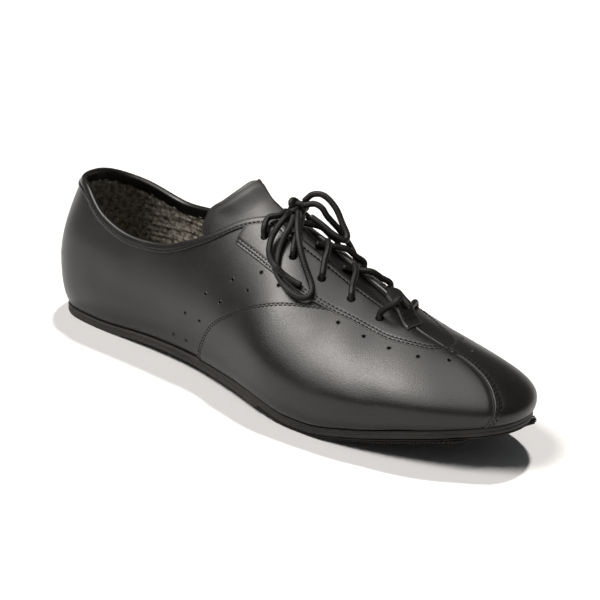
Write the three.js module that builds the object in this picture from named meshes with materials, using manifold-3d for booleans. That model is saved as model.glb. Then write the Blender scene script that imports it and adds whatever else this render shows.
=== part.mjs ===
// A lace-up cycling shoe for the right foot, empty and unbent on its sole.
// Millimetres: +X points to the toe, -Y is the outer side, +Z is up, and the floor is z = 0.
// The origin is on the floor under the middle of the heel seat.

import * as THREE from 'three';
import { mergeVertices } from 'three/addons/utils/BufferGeometryUtils.js';
import Module from 'manifold-3d';

const manifold = await Module();
manifold.setup();

// Sole
const LENGTH = 288;
const HEEL_SEAT = 30; // from the sole's back edge to the origin
const BALL_WIDTH = 82.8;
const HEEL_RADIUS = 29;
const TOE_RADIUS = 26.4;
const HEEL_BEVEL = 1;
const ARCH_RISE = 3;
const TOE_SPRING = 17.3;
const HEEL_SOLE = 4.4;
const BALL_SOLE = 5.6;
const TREAD = 1.2;
const TREAD_BACK = 0.597 * LENGTH; // from the sole's back edge
const TREAD_INSET = 0.4;
const EDGE_BEVEL = 0.6;
const EDGE_GROOVE = 0.5;
const INSOLE = 2;

// Upper
const CONE_HEIGHT = 106.7; // ridge of the last over the sole, at its back end
const RIDGE_BACK = 34; // from the sole's back edge to the ridge's back end
const RIDGE_FRONT = 36; // from the ridge's front end to the sole's toe
const WAIST_HEIGHT = 25; // fullest line over the sole, at the heel
const OVERHANG = 3; // of the fullest line past the sole's edge
const FEATHER_INSET = 1.5; // from the sole's edge to the upper's foot
const BACK_HEIGHT = 68; // collar over the sole, at the heel
const WALL = 2;
const OVERLAY = 0.9;
const BAND_WIDTH = 4.5;
const THROAT_GAP = 16; // between the facings, at the collar
const THROAT_BASE = 0.74 * LENGTH; // from the sole's back edge to the throat's front end
const TONGUE = 2.2;
const TONGUE_TOP = 0.452; // place along the last of the tongue's back edge
const TONGUE_FOOT = 0.735;

// Lacing
const LACE = 3;
const EYELET = 4.2;
const KEEPER_LENGTH = 21;
const KEEPER_WIDTH = 10;
const KEEPER_THICKNESS = 1.5;
const KEEPER_FRONT = THROAT_BASE + 18; // from the sole's back edge to the sewn end
const KEEPER_RISE = 5; // of its free end over the facings
const KEEPER_HOLE = 0.44; // share of its length, from the sewn end
const KNOT_WIDTH = 8;

// Room left between pieces that touch
const GAP = 0.3;
const SEAT = 0.36; // under an overlay

// How finely curved pieces are divided
const COLUMNS = 38;
const ROWS = 12;

const OUTER = -1;
const INNER = 1;

// Half width of the sole, as a share of half the ball width
const OUTLINE = [
  { at: 0.05, half: 0.606 },
  { at: 0.13, half: 0.732 },
  { at: 0.25, half: 0.684 },
  { at: 0.4, half: 0.635 },
  { at: 0.5, half: 0.725 },
  { at: 0.62, half: 0.942 },
  { at: 0.72, half: 1 },
  { at: 0.82, half: 0.896 },
  { at: 0.9, half: 0.729 },
  { at: 0.96, half: 0.507 },
];

// How far the middle of the sole lies to the inner side, in the same shares
const CENTRE = [
  { at: 0, shift: -0.019 },
  { at: 0.05, shift: -0.019 },
  { at: 0.13, shift: 0.005 },
  { at: 0.25, shift: -0.029 },
  { at: 0.4, shift: -0.114 },
  { at: 0.5, shift: -0.147 },
  { at: 0.62, shift: -0.109 },
  { at: 0.72, shift: -0.031 },
  { at: 0.82, shift: 0.031 },
  { at: 0.9, shift: 0.092 },
  { at: 0.96, shift: 0.143 },
  { at: 1, shift: 0.094 },
];

// Rise of the tread over the floor, as shares of the heel bevel, the arch and the toe spring
const BOTTOM = [
  { at: 0, bevel: 1, arch: 0, spring: 0 },
  { at: 0.04, bevel: 0, arch: 0, spring: 0 },
  { at: 0.14, bevel: 0, arch: 0, spring: 0 },
  { at: 0.28, bevel: 0, arch: 0.8, spring: 0 },
  { at: 0.42, bevel: 0, arch: 1, spring: 0 },
  { at: 0.53, bevel: 0, arch: 1, spring: 0 },
  { at: 0.6, bevel: 0, arch: 0.77, spring: 0 },
  { at: 0.665, bevel: 0, arch: 0, spring: 0 },
  { at: 0.7, bevel: 0, arch: 0, spring: 0 },
  { at: 0.78, bevel: 0, arch: 0, spring: 0.202 },
  { at: 0.88, bevel: 0, arch: 0, spring: 0.566 },
  { at: 0.96, bevel: 0, arch: 0, spring: 0.838 },
  { at: 1, bevel: 0, arch: 0, spring: 1 },
];

// Sole thickness, from the heel's (0) to the ball's (1)
const THICKNESS = [
  { at: 0.3, share: 0 },
  { at: 0.6, share: 1 },
];

// Fullest line of the wall: its overhang on each side, and its height
const WAIST = [
  { at: 0, outer: 1.25, inner: 1.25, height: 1 },
  { at: 0.13, outer: 1.13, inner: 1.03, height: 1.04 },
  { at: 0.3, outer: 1, inner: 1.67, height: 1 },
  { at: 0.5, outer: 1, inner: 1.33, height: 0.9 },
  { at: 0.65, outer: 0.75, inner: 0.75, height: 0.684 },
  { at: 0.8, outer: 0.65, inner: 0.58, height: 0.5 },
  { at: 0.9, outer: 0.5, inner: 0.3, height: 0.344 },
  { at: 1, outer: -0.1, inner: -0.1, height: 0.12 },
];

// How full each shoulder is under the ridge, as a share of the wall's reach from the ridge
const SHOULDER = [
  { at: 0, outer: 0.27, inner: 0.27 },
  { at: 0.4, outer: 0.27, inner: 0.27 },
  { at: 0.55, outer: 0.27, inner: 0.18 },
  { at: 0.7, outer: 0.27, inner: 0.12 },
  { at: 0.82, outer: 0.27, inner: 0.17 },
  { at: 0.93, outer: 0.27, inner: 0.27 },
  { at: 1, outer: 0.27, inner: 0.27 },
];

// Ridge of the last over the sole, as a share of the cone height
const RIDGE = [
  { at: 0.1, height: 1 },
  { at: 0.25, height: 0.983 },
  { at: 0.4, height: 0.85 },
  { at: 0.5, height: 0.725 },
  { at: 0.6, height: 0.599 },
  { at: 0.7, height: 0.482 },
  { at: 0.8, height: 0.363 },
  { at: 0.88, height: 0.259 },
];

// How far the ridge lies to the inner side, as a share of half the ball width
const RIDGE_LINE = [
  { at: 0.05, shift: 0.01 },
  { at: 0.3, shift: 0.012 },
  { at: 0.45, shift: 0.015 },
  { at: 0.57, shift: 0.024 },
  { at: 0.605, shift: 0.051 },
  { at: 0.65, shift: 0.101 },
  { at: 0.69, shift: 0.114 },
  { at: 0.72, shift: 0.101 },
  { at: 0.745, shift: 0.035 },
  { at: 0.77, shift: -0.03 },
  { at: 0.8, shift: -0.075 },
  { at: 0.84, shift: -0.08 },
  { at: 0.88, shift: -0.06 },
];

// Collar height over the sole, as a share of the back height
const COLLAR = [
  { at: 0, outer: 0.975, inner: 0.975 },
  { at: 0.06, outer: 0.995, inner: 0.885 },
  { at: 0.14, outer: 0.845, inner: 0.782 },
  { at: 0.24, outer: 0.732, inner: 0.778 },
  { at: 0.32, outer: 0.754, inner: 0.776 },
  { at: 0.4, outer: 0.897, inner: 0.897 },
  { at: 0.46, outer: 1.038, inner: 1.029 },
  { at: 0.52, outer: 1.088, inner: 1.132 },
];

// Half the throat's opening, as a share of the gap, by the way back from the throat's base
const THROAT = [
  { at: 0, half: 0 },
  { at: 0.02, half: 0.16 },
  { at: 0.06, half: 0.25 },
  { at: 0.2, half: 0.36 },
  { at: 0.5, half: 0.43 },
  { at: 1, half: 0.5 },
];

// Lower edge of the eyestay: place along the last, and share of the way up the wall
const STAY_SEAM = [
  { at: 0.47, up: 0.653 },
  { at: 0.532, up: 0.666 },
  { at: 0.605, up: 0.69 },
  { at: 0.66, up: 0.712 },
  { at: 0.732, up: 0.725 },
  { at: 0.788, up: 0.77 },
  { at: 0.83, up: 0.81 },
  { at: 0.893, up: 0.92 },
  { at: 0.955, up: 1 },
  { at: 1, up: 1 },
];

// Back edge of the vamp's wing: place along the last, by the share of the way up the wall
const WING_SEAM = [
  { at: 0, along: 0.447 },
  { at: 0.15, along: 0.457 },
  { at: 0.36, along: 0.492 },
  { at: 0.52, along: 0.541 },
  { at: 0.645, along: 0.593 },
  { at: 0.715, along: 0.635 },
];

// Toe seam below the ridge, on the outer side, in the same way
const TOE_SEAM = [
  { at: 0, along: 0.897 },
  { at: 0.22, along: 0.904 },
  { at: 0.45, along: 0.928 },
  { at: 0.68, along: 0.962 },
  { at: 0.92, along: 0.987 },
  { at: 1, along: 1 },
];

// Pairs of eyelets from the collar to the toe: place along the last, and share of the way up each side
const EYELETS = [
  { at: 0.512, outer: 0.758, inner: 0.735 },
  { at: 0.56, outer: 0.779, inner: 0.755 },
  { at: 0.605, outer: 0.792, inner: 0.765 },
  { at: 0.652, outer: 0.805, inner: 0.775 },
  { at: 0.705, outer: 0.808, inner: 0.785 },
];
const upOf = (side, eyelet) => (side === OUTER ? eyelet.outer : eyelet.inner);

// The tongue's back edge: how far it sweeps back, by the way out from the tongue's middle
const TONGUE_EDGE = [
  { at: 0, back: 0 },
  { at: 0.15, back: 0.006 },
  { at: 0.35, back: 0.012 },
  { at: 0.55, back: 0.023 },
  { at: 0.75, back: 0.038 },
  { at: 0.87, back: 0.038 },
  { at: 1, back: 0.018 },
];
const TONGUE_BACK_HALF = 0.43; // share of the wall from the ridge down
const TONGUE_FRONT_HALF = 0.2;
const TONGUE_LIFT = 3; // of the back edge's middle off the last

// Middle of the knot, and the ways of the bow's loops and ends from it
const KNOT = [120.5, 1.5, 86];
const BOW = {
  outer_loop: [
    [127, -6.5, 84.8], [129.2, -10.8, 81.6], [129.4, -15.1, 76.8], [130.4, -18.9, 72], [132.9, -22.8, 67.7],
    [135.8, -26, 64.8], [141.4, -28, 61.2], [147.7, -28.6, 58.6], [152.6, -27.7, 57.2], [155.4, -25.5, 57.4],
    [155.5, -23, 59.4], [153.2, -20.7, 61.6], [149.5, -19.2, 65.2], [145, -17.9, 70.2], [141.2, -16.2, 74.8],
    [137, -13.6, 79.4], [132.6, -9.6, 83.4], [127.6, -4, 86.4],
  ],
  outer_end: [
    [122.6, -5, 85.4], [125.2, -10.6, 84.6], [125, -15.4, 80.6], [125, -19, 75.9], [127.6, -22.9, 71.8],
    [132.6, -26.6, 69.6], [137.7, -28.4, 68], [141.9, -26.8, 64.6], [146.2, -25.2, 62.4], [149, -24.2, 61.4],
  ],
  inner_loop: [
    [121.5, 6.6, 88.6], [124.2, 8.8, 91.8], [129, 11, 92.3], [135.6, 12.5, 87.7], [141.6, 12, 80.4],
    [145.5, 11, 76.2], [146, 9.2, 74.6], [144.2, 7.2, 75.6], [140.6, 5.2, 77.8], [136, 3.4, 81],
    [131, 1.6, 83.8],
  ],
  inner_end: [
    [124.2, 3.3, 87.6], [128.4, 6, 88.8], [132.2, 7.2, 87.4], [134.6, 8.2, 84], [136, 10.4, 81],
    [137.4, 13.2, 77.6], [139, 16, 73.4], [140.6, 18.8, 68.4], [141.8, 21.4, 63], [142.8, 23.8, 57.4],
  ],
};

// A smooth curve through a table: cubic pieces whose slope at a row comes from both its neighbours.
// A level curve doesn't swing past its rows.
function through(rows, key, level = false) {
  const x = rows.map((row) => row.at);
  const y = rows.map((row) => row[key]);
  const last = x.length - 1;
  const steep = x.slice(1).map((end, i) => (y[i + 1] - y[i]) / (end - x[i]));
  const slopes = x.map(() => 0);
  for (let i = 1; i < last; i += 1) {
    const back = x[i] - x[i - 1];
    const ahead = x[i + 1] - x[i];
    const flat = level && steep[i - 1] * steep[i] <= 0;
    slopes[i] = flat ? 0 : (steep[i - 1] * ahead + steep[i] * back) / (back + ahead);
  }
  slopes[0] = last > 1 ? 1.5 * steep[0] - 0.5 * slopes[1] : 0;
  slopes[last] = last > 1 ? 1.5 * steep[last - 1] - 0.5 * slopes[last - 1] : 0;
  return (at) => {
    let i = 0;
    while (i < last - 1 && at > x[i + 1]) i += 1;
    const span = x[i + 1] - x[i];
    const t = THREE.MathUtils.clamp((at - x[i]) / span, 0, 1);
    const rest = 1 - t;
    const ends = (1 + 2 * t) * rest * rest * y[i] + t * t * (3 - 2 * t) * y[i + 1];
    return ends + t * rest * span * (rest * slopes[i] - t * slopes[i + 1]);
  };
}

// Places along the shoe: a place of 0 is the heel's back, 1 the toe, and lengths crowd towards both ends
const shareOf = (place) => (1 - Math.cos(Math.PI * place)) / 2;
const placeOf = (share) => Math.acos(1 - 2 * share) / Math.PI;
const half = BALL_WIDTH / 2;

const fullness = through([
  { at: 0, value: Math.sqrt((HEEL_RADIUS * LENGTH) / 2) },
  ...OUTLINE.map((row) => ({
    at: placeOf(row.at),
    value: (row.half * half) / Math.sin(Math.PI * placeOf(row.at)),
  })),
  { at: 1, value: Math.sqrt((TOE_RADIUS * LENGTH) / 2) },
], 'value');
const centre = through(CENTRE, 'shift');
const bevel = through(BOTTOM, 'bevel', true);
const arch = through(BOTTOM, 'arch', true);
const spring = through(BOTTOM, 'spring', true);
const thicken = through(THICKNESS, 'share');
const overhang = { [OUTER]: through(WAIST, 'outer'), [INNER]: through(WAIST, 'inner') };
const waist = through(WAIST, 'height');
const shoulder = { [OUTER]: through(SHOULDER, 'outer', true), [INNER]: through(SHOULDER, 'inner', true) };
const ridgeHeight = through(RIDGE, 'height');
const ridgeLine = through(RIDGE_LINE, 'shift');
const collar = { [OUTER]: through(COLLAR, 'outer'), [INNER]: through(COLLAR, 'inner') };
const throat = through(THROAT, 'half', true);
const staySeam = through(STAY_SEAM, 'up', true);
const wingSeam = through(WING_SEAM, 'along');
const toeSeam = through(TOE_SEAM, 'along');
const tongueEdge = through(TONGUE_EDGE, 'back', true);

const groundRise = (share) => HEEL_BEVEL * bevel(share)
  + ARCH_RISE * arch(share)
  + TOE_SPRING * spring(share);
const soleThickness = (share) => HEEL_SOLE + (BALL_SOLE - HEEL_SOLE) * thicken(share);
const soleTop = (share) => groundRise(share) + soleThickness(share);

// A point of the sole's outline, seen from above
function outline(side, place) {
  const share = shareOf(place);
  const out = fullness(place) * Math.sin(Math.PI * place);
  return new THREE.Vector2(LENGTH * share - HEEL_SEAT, centre(share) * half + side * out);
}

// A point of the last's ridge, over which both sides of the wall meet
function ridge(place) {
  const along = RIDGE_BACK + (LENGTH - RIDGE_BACK - RIDGE_FRONT) * shareOf(place);
  const share = along / LENGTH;
  const height = CONE_HEIGHT * ridgeHeight(share) + soleTop(share) + GAP;
  return new THREE.Vector3(along - HEEL_SEAT, ridgeLine(share) * half, height);
}

// The outline moved in towards the ridge by an inset
function insetOutline(side, place, inset) {
  const edge = outline(side, place);
  const top = ridge(place);
  const inward = new THREE.Vector2(top.x, top.y).sub(edge).normalize();
  return edge.addScaledVector(inward, inset);
}

function bezier(a, b, c, d, t) {
  const rest = 1 - t;
  return rest ** 3 * a + 3 * rest * rest * t * b + 3 * rest * t * t * c + t ** 3 * d;
}

const FULLEST = 0.3; // share of the way up the wall at which it is fullest
const FOOT_PULL = 0.75;
const UPPER_PULL = 0.35;

// The outer surface of the last: side, place along it, and share of the way up from sole to ridge.
// Past the heel or the toe the same surface goes on along the other side, and so it does past the ridge.
function last(side, place, up) {
  if (place < 0) return last(-side, -place, up);
  if (place > 1) return last(-side, 2 - place, up);
  if (up > 1) return last(-side, place, 2 - up);
  const share = shareOf(place);
  const edge = outline(side, place);
  const top = ridge(place);
  const away = new THREE.Vector2(edge.x - top.x, edge.y - top.y);
  const reach = away.length();
  away.normalize();
  const foot = soleTop(share) + GAP;
  const height = WAIST_HEIGHT * waist(share);
  const near = reach - FEATHER_INSET;
  const far = reach + OVERHANG * overhang[side](share);
  let out;
  let z;
  if (up < FULLEST) {
    const t = up / FULLEST;
    out = bezier(near, near + (far - near) * FOOT_PULL, far, far, t);
    z = bezier(foot, foot + height * 0.12, foot + height * 0.55, foot + height, t);
  } else {
    const t = (up - FULLEST) / (1 - FULLEST);
    const full = foot + height;
    out = bezier(far, far, far * shoulder[side](share), 0, t);
    z = bezier(full, full + (top.z - full) * UPPER_PULL, top.z, top.z, t);
  }
  return new THREE.Vector3(top.x + away.x * out, top.y + away.y * out, z);
}

// The last's outward direction, level at the wall's foot
function outward(side, place, up) {
  if (up > 1) return outward(-side, place, 2 - up);
  if (up > 0.995) {
    const outerSide = slope(OUTER, place, 0.98);
    return outerSide.add(slope(INNER, place, 0.98)).normalize();
  }
  const direction = slope(side, place, Math.max(up, 0.01));
  direction.z *= THREE.MathUtils.smoothstep(up, 0, 0.12);
  return direction.normalize();
}

function slope(side, place, up) {
  const step = 0.002;
  const along = last(side, place + step, up).sub(last(side, place - step, up));
  const upwards = last(side, place, Math.min(up + step, 1)).sub(last(side, place, up - step));
  return along.cross(upwards).multiplyScalar(-side).normalize();
}

// A point at a height over the last's surface, or under it when the height is negative
function offset(side, place, up, height) {
  return last(side, place, up).addScaledVector(outward(side, place, up), height);
}

// How much of the way up the wall, or along it, one millimetre takes
function upPerMm(side, place, up) {
  const step = 0.002;
  return (2 * step) / last(side, place, up - step).distanceTo(last(side, place, up + step));
}
function placePerMm(side, place, up) {
  const step = 0.002;
  return (2 * step) / last(side, place - step, up).distanceTo(last(side, place + step, up));
}

// Share of the way up that keeps a gap below an edge; at the ridge the gap is kept to the other side's piece
function roomUp(side, place, up) {
  if (up < 0.97) return GAP * upPerMm(side, place, up);
  const apart = last(OUTER, place, 0.98).distanceTo(last(INNER, place, 0.98));
  return Math.min((GAP * 0.1) / apart, 0.065);
}

const throatPlace = placeOf((THROAT_BASE - RIDGE_BACK) / (LENGTH - RIDGE_BACK - RIDGE_FRONT));
const collarFront = 0.52; // share of the length where the collar meets the throat
const CORNER = 0.05; // how softly collar and facing meet

// The upper's top edge: where the wall reaches the collar's height or the throat's opening
function topEdge(side, place) {
  const clamped = Math.abs(place);
  if (clamped >= throatPlace) return 1;
  const share = shareOf(clamped);
  const limit = BACK_HEIGHT * collar[side](share) + soleTop(share) + GAP;
  const top = ridge(clamped);
  const back = (THROAT_BASE - HEEL_SEAT - top.x) / (THROAT_BASE - collarFront * LENGTH);
  const opening = THROAT_GAP * throat(back);
  const low = climb((up) => last(side, clamped, up).z >= limit);
  const wide = climb((up) => {
    const point = last(side, clamped, up);
    return Math.hypot(point.x - top.x, point.y - top.y) <= opening;
  });
  const blend = THREE.MathUtils.clamp(0.5 + (wide - low) / (2 * CORNER), 0, 1);
  return wide + (low - wide) * blend - CORNER * blend * (1 - blend);
}

// The first share of the way up the wall, above its fullest line, that passes a test
function climb(test) {
  let below = FULLEST;
  let above = 1;
  if (!test(1)) return 1;
  for (let i = 0; i < 24; i += 1) {
    const middle = (below + above) / 2;
    if (test(middle)) above = middle;
    else below = middle;
  }
  return above;
}

// Closed solids are gathered as loose triangles and then welded
class Solid {
  constructor() {
    this.corners = [];
  }

  triangle(a, b, c) {
    const area = new THREE.Vector3().subVectors(b, a).cross(new THREE.Vector3().subVectors(c, a)).length();
    if (area > 1e-9) this.corners.push(a, b, c);
  }

  quad(a, b, c, d) {
    this.triangle(a, b, c);
    this.triangle(a, c, d);
  }

  // A strip between two lines of points
  strip(first, second) {
    for (let i = 0; i + 1 < first.length; i += 1) {
      this.quad(first[i], second[i], second[i + 1], first[i + 1]);
    }
  }

  geometry() {
    const geometry = new THREE.BufferGeometry().setFromPoints(this.corners);
    return facingOut(mergeVertices(geometry, 1e-5));
  }
}

function facingOut(geometry) {
  const position = geometry.attributes.position;
  const index = geometry.index.array;
  const a = new THREE.Vector3();
  const b = new THREE.Vector3();
  const c = new THREE.Vector3();
  let volume = 0;
  for (let i = 0; i < index.length; i += 3) {
    a.fromBufferAttribute(position, index[i]);
    b.fromBufferAttribute(position, index[i + 1]);
    c.fromBufferAttribute(position, index[i + 2]);
    volume += a.dot(b.cross(c));
  }
  if (volume < 0) {
    for (let i = 0; i < index.length; i += 3) {
      [index[i + 1], index[i + 2]] = [index[i + 2], index[i + 1]];
    }
  }
  return geometry;
}

// A sheet of leather: a grid of points and the grid that lies a thickness over it
function sheet(columns, rows, point, low, high) {
  const solid = new Solid();
  const under = columns.map((column) => rows.map((row) => point(column, row, low)));
  const over = columns.map((column) => rows.map((row) => point(column, row, high)));
  for (let i = 0; i + 1 < columns.length; i += 1) {
    solid.strip(over[i], over[i + 1]);
    solid.strip(under[i + 1], under[i]);
  }
  const end = rows.length - 1;
  const far = columns.length - 1;
  solid.strip(under.map((line) => line[end]), over.map((line) => line[end]));
  solid.strip(over.map((line) => line[0]), under.map((line) => line[0]));
  solid.strip(over[far], under[far]);
  solid.strip(under[0], over[0]);
  return solid.geometry();
}

// A solid through closed sections of equal numbers of points; an end section folded flat needs no face
const isFolded = (section) => section[0].distanceTo(section[section.length - 1]) < 1e-6;
function loft(sections) {
  const solid = new Solid();
  const ring = (section) => [...section, section[0]];
  for (let i = 0; i + 1 < sections.length; i += 1) {
    solid.strip(ring(sections[i]), ring(sections[i + 1]));
  }
  const first = sections[0];
  const final = sections[sections.length - 1];
  for (let i = 1; i + 1 < first.length; i += 1) {
    if (!isFolded(first)) solid.triangle(first[0], first[i], first[i + 1]);
    if (!isFolded(final)) solid.triangle(final[0], final[i + 1], final[i]);
  }
  return solid.geometry();
}

const steps = (count) => Array.from({ length: count + 1 }, (_, i) => i / count);
const mix = THREE.MathUtils.lerp;
const between = (low, high, count) => steps(count).map((t) => mix(low, high, t));

// Places where the collar turns down into the facing
const cornerPlaces = [0.475, 0.485, 0.495, 0.505, 0.515, 0.525];

// Evenly spread places, with the ones that a form turns on put in
function placesWith(low, high, count, ...wanted) {
  const even = between(low, high, count);
  const clear = (high - low) / count / 3;
  const inside = wanted.filter((place) => place > low && place < high);
  const kept = even.filter((place) => place === low || place === high
    || inside.every((other) => Math.abs(other - place) > clear));
  return [...kept, ...inside].sort((a, b) => a - b);
}

// The sole, the tread and the insole share their places, so that they lie flat on one another
const stepPlace = placeOf(TREAD_BACK / LENGTH);
const afterStep = placeOf((TREAD_BACK + GAP) / LENGTH);
const treadBack = placeOf((TREAD_BACK + 2 * GAP) / LENGTH);
const flatSpots = [0.04, 0.14, 0.665, 0.7].map(placeOf);
const solePlaces = placesWith(0, 1, COLUMNS, stepPlace, afterStep, treadBack, ...flatSpots);

// Board of the sole, with a bevelled edge, a groove round it and a step up in front for the tread
function outsoleGeometry() {
  return loft(solePlaces.map((place) => {
    const share = shareOf(place);
    const top = soleTop(share);
    const bottom = groundRise(share) + (place >= afterStep ? TREAD + GAP : 0);
    const middle = (top + bottom) / 2;
    const profile = [
      [EDGE_BEVEL, top],
      [0, top - EDGE_BEVEL],
      [0, middle + EDGE_GROOVE],
      [EDGE_GROOVE, middle],
      [0, middle - EDGE_GROOVE],
      [0, bottom + EDGE_BEVEL],
      [EDGE_BEVEL, bottom],
    ];
    const edge = (side) => profile.map(([inset, z]) => {
      const point = insetOutline(side, place, inset);
      return new THREE.Vector3(point.x, point.y, z);
    });
    return [...edge(OUTER), ...edge(INNER).reverse()];
  }));
}

// A plate that follows the sole's outline
function plateGeometry(places, inset, heights) {
  return loft(places.map((place) => {
    const [bottom, top] = heights(shareOf(place));
    const corner = (side, z) => {
      const point = insetOutline(side, place, inset);
      return new THREE.Vector3(point.x, point.y, z);
    };
    return [corner(OUTER, top), corner(OUTER, bottom), corner(INNER, bottom), corner(INNER, top)];
  }));
}

function treadGeometry() {
  const places = solePlaces.filter((place) => place >= treadBack);
  return plateGeometry(places, TREAD_INSET, (share) => [groundRise(share), groundRise(share) + TREAD]);
}

function insoleGeometry() {
  const inset = FEATHER_INSET + WALL + 3 * GAP;
  return plateGeometry(solePlaces, inset, (share) => [soleTop(share) + GAP, soleTop(share) + GAP + INSOLE]);
}

// The upper is a ring of columns, out along one side and back along the other, open at collar and throat
function upperGeometry() {
  const places = placesWith(0, 1, COLUMNS, throatPlace - 0.004, throatPlace, ...cornerPlaces);
  const lines = [
    ...[...places].reverse().map((place) => [OUTER, place]),
    ...places.slice(1, -1).map((place) => [INNER, place]),
  ];
  lines.push(lines[0]);
  const column = (depth) => lines.map(([side, place]) => {
    const top = topEdge(side, place);
    return steps(ROWS).map((row) => offset(side, place, top * row, depth));
  });
  const outer = column(0);
  const inner = column(-WALL);
  const solid = new Solid();
  for (let i = 0; i + 1 < lines.length; i += 1) {
    solid.strip(outer[i], outer[i + 1]);
    solid.strip(inner[i + 1], inner[i]);
    solid.quad(outer[i][0], inner[i][0], inner[i + 1][0], outer[i + 1][0]);
    const open = Math.min(lines[i][1], lines[i + 1][1]) < throatPlace;
    if (open) solid.quad(inner[i][ROWS], outer[i][ROWS], outer[i + 1][ROWS], inner[i + 1][ROWS]);
  }
  return solid.geometry();
}

// Share of the way up the wall at the lower edge of the collar band
const bandFoot = (side, place) => topEdge(side, place)
  - BAND_WIDTH * upPerMm(side, Math.abs(place), topEdge(side, place));

// Band round the collar and down both facings, from one side of the throat's base to the other
const bandEnd = throatPlace - 0.008;
function collarBandGeometry() {
  const corners = [...cornerPlaces.map((place) => -place), ...cornerPlaces];
  const places = placesWith(-bandEnd, bandEnd, 2 * Math.round(COLUMNS * 0.7), ...corners);
  return sheet(places, [0, 1], (place, row, height) => {
    const side = place < 0 ? OUTER : INNER;
    const up = mix(bandFoot(side, place), topEdge(side, place), row);
    return offset(side, Math.abs(place), up, height);
  }, SEAT, SEAT + OVERLAY);
}

// Eyestay of one side, from the collar down past the throat to the centre seam
function eyestayGeometry(side) {
  const room = GAP * placePerMm(side, throatPlace, 0.95);
  const places = placesWith(0.478, 0.905, 20, bandEnd + room, bandEnd + 2 * room, ...cornerPlaces);
  return sheet(places, steps(4), (place, row, height) => {
    const seam = staySeam(place);
    const above = place <= bandEnd + room ? bandFoot(side, place) : 1;
    const top = Math.max(above - roomUp(side, place, above), seam + 0.004);
    return offset(side, place, mix(seam, top, row), height);
  }, SEAT, SEAT + OVERLAY);
}

// Vamp of one side, from its wing seam to the toe seam.
// The inner one goes on round the toe to the seam on the outer side.
function vampGeometry(side) {
  const wing = WING_SEAM[WING_SEAM.length - 1];
  const placeAt = (across, up) => {
    const seam = toeSeam(up);
    const clear = (GAP / 2) * placePerMm(OUTER, seam, Math.min(up, 0.9));
    return mix(wingSeam(Math.min(up, wing.at)), side === OUTER ? seam - clear : 2 - seam - clear, across);
  };
  const topAt = (across) => {
    let top = wing.at;
    for (let i = 0; i < 12; i += 1) {
      const place = placeAt(across, top);
      const seam = staySeam(Math.min(place, 2 - place));
      top = seam - roomUp(side, place, seam);
    }
    return top;
  };
  return sheet(steps(22), steps(11), (across, row, height) => {
    const up = mix(0.012, topAt(across), row);
    return offset(side, placeAt(across, up), up, height);
  }, SEAT, SEAT + OVERLAY);
}

// The tongue lies under both facings and stands on past the collar, where its middle lifts off the foot
const TONGUE_DEPTH = WALL + 2 * GAP;
function tongueGeometry() {
  const rows = steps(14).map((t) => t * mix(0.35, 1, t));
  return sheet(rows, between(-1, 1, 16), (along, across, height) => {
    const side = across < 0 ? OUTER : INNER;
    const out = Math.abs(across);
    const place = mix(TONGUE_TOP - tongueEdge(out), TONGUE_FOOT, along);
    const width = mix(TONGUE_BACK_HALF, TONGUE_FRONT_HALF, along);
    const lift = TONGUE_LIFT * (1 - THREE.MathUtils.smoothstep(along, 0, 0.13)) * (1 - out * out);
    return offset(side, place, 1 - width * out, height + lift);
  }, -TONGUE_DEPTH - TONGUE, -TONGUE_DEPTH);
}

function toSolid(geometry) {
  const merged = geometry.clone();
  merged.deleteAttribute('normal');
  merged.deleteAttribute('uv');
  const welded = mergeVertices(merged, 1e-5);
  return new manifold.Manifold(new manifold.Mesh({
    numProp: 3,
    vertProperties: new Float32Array(welded.attributes.position.array),
    triVerts: new Uint32Array(welded.index.array),
  }));
}

function fromSolid(solid) {
  const mesh = solid.getMesh();
  const geometry = new THREE.BufferGeometry();
  geometry.setAttribute('position', new THREE.BufferAttribute(mesh.vertProperties, 3));
  geometry.setIndex(new THREE.BufferAttribute(mesh.triVerts, 1));
  return geometry;
}

// Punches holes through a piece, square to the last's surface
function punched(geometry, side, holes) {
  let solid = toSolid(geometry);
  for (const hole of holes) {
    const punch = new THREE.CylinderGeometry(EYELET / 2, EYELET / 2, 4 * WALL, 8);
    const middle = last(side, hole.at, upOf(side, hole));
    const square = outward(side, hole.at, upOf(side, hole));
    punch.applyQuaternion(new THREE.Quaternion().setFromUnitVectors(new THREE.Vector3(0, 1, 0), square));
    punch.translate(middle.x, middle.y, middle.z);
    solid = solid.subtract(toSolid(punch));
  }
  return fromSolid(solid);
}

const upperWithEyelets = () => punched(punched(upperGeometry(), OUTER, EYELETS), INNER, EYELETS);

// How high a surface over the last lies at a point beside the ridge
function surfaceOver(x, y, height) {
  let place = placeOf((x + HEEL_SEAT - RIDGE_BACK) / (LENGTH - RIDGE_BACK - RIDGE_FRONT));
  let up = 0.95;
  let z = 0;
  for (let i = 0; i < 12; i += 1) {
    const side = y < ridge(place).y ? OUTER : INNER;
    const point = offset(side, place, up, height);
    z = point.z;
    place += (x - point.x) * placePerMm(side, place, up);
    up -= side * (y - point.y) * upPerMm(side, place, Math.min(up, 0.98));
    up = THREE.MathUtils.clamp(up, 0.7, 1);
  }
  return z;
}

// Tab sewn down ahead of the throat: it rises backwards over the lacing, and has a hole for the last bar
function keeperPoint(along, across, height) {
  const x = KEEPER_FRONT - HEEL_SEAT - KEEPER_LENGTH * along;
  const middle = ridgeLine((x + HEEL_SEAT) / LENGTH) * half;
  const round = Math.sqrt(1 - Math.max(0, (along - 0.8) / 0.2) ** 2 * 0.96);
  const y = middle + across * (KEEPER_WIDTH / 2) * round;
  const base = SEAT + OVERLAY + GAP;
  const rise = THREE.MathUtils.smoothstep(along, 0.05, 0.46);
  const z = mix(surfaceOver(x, y, base), surfaceOver(x, middle, base) - 0.6 * across * across, rise);
  return new THREE.Vector3(x, y, z + KEEPER_RISE * rise + height);
}

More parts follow.
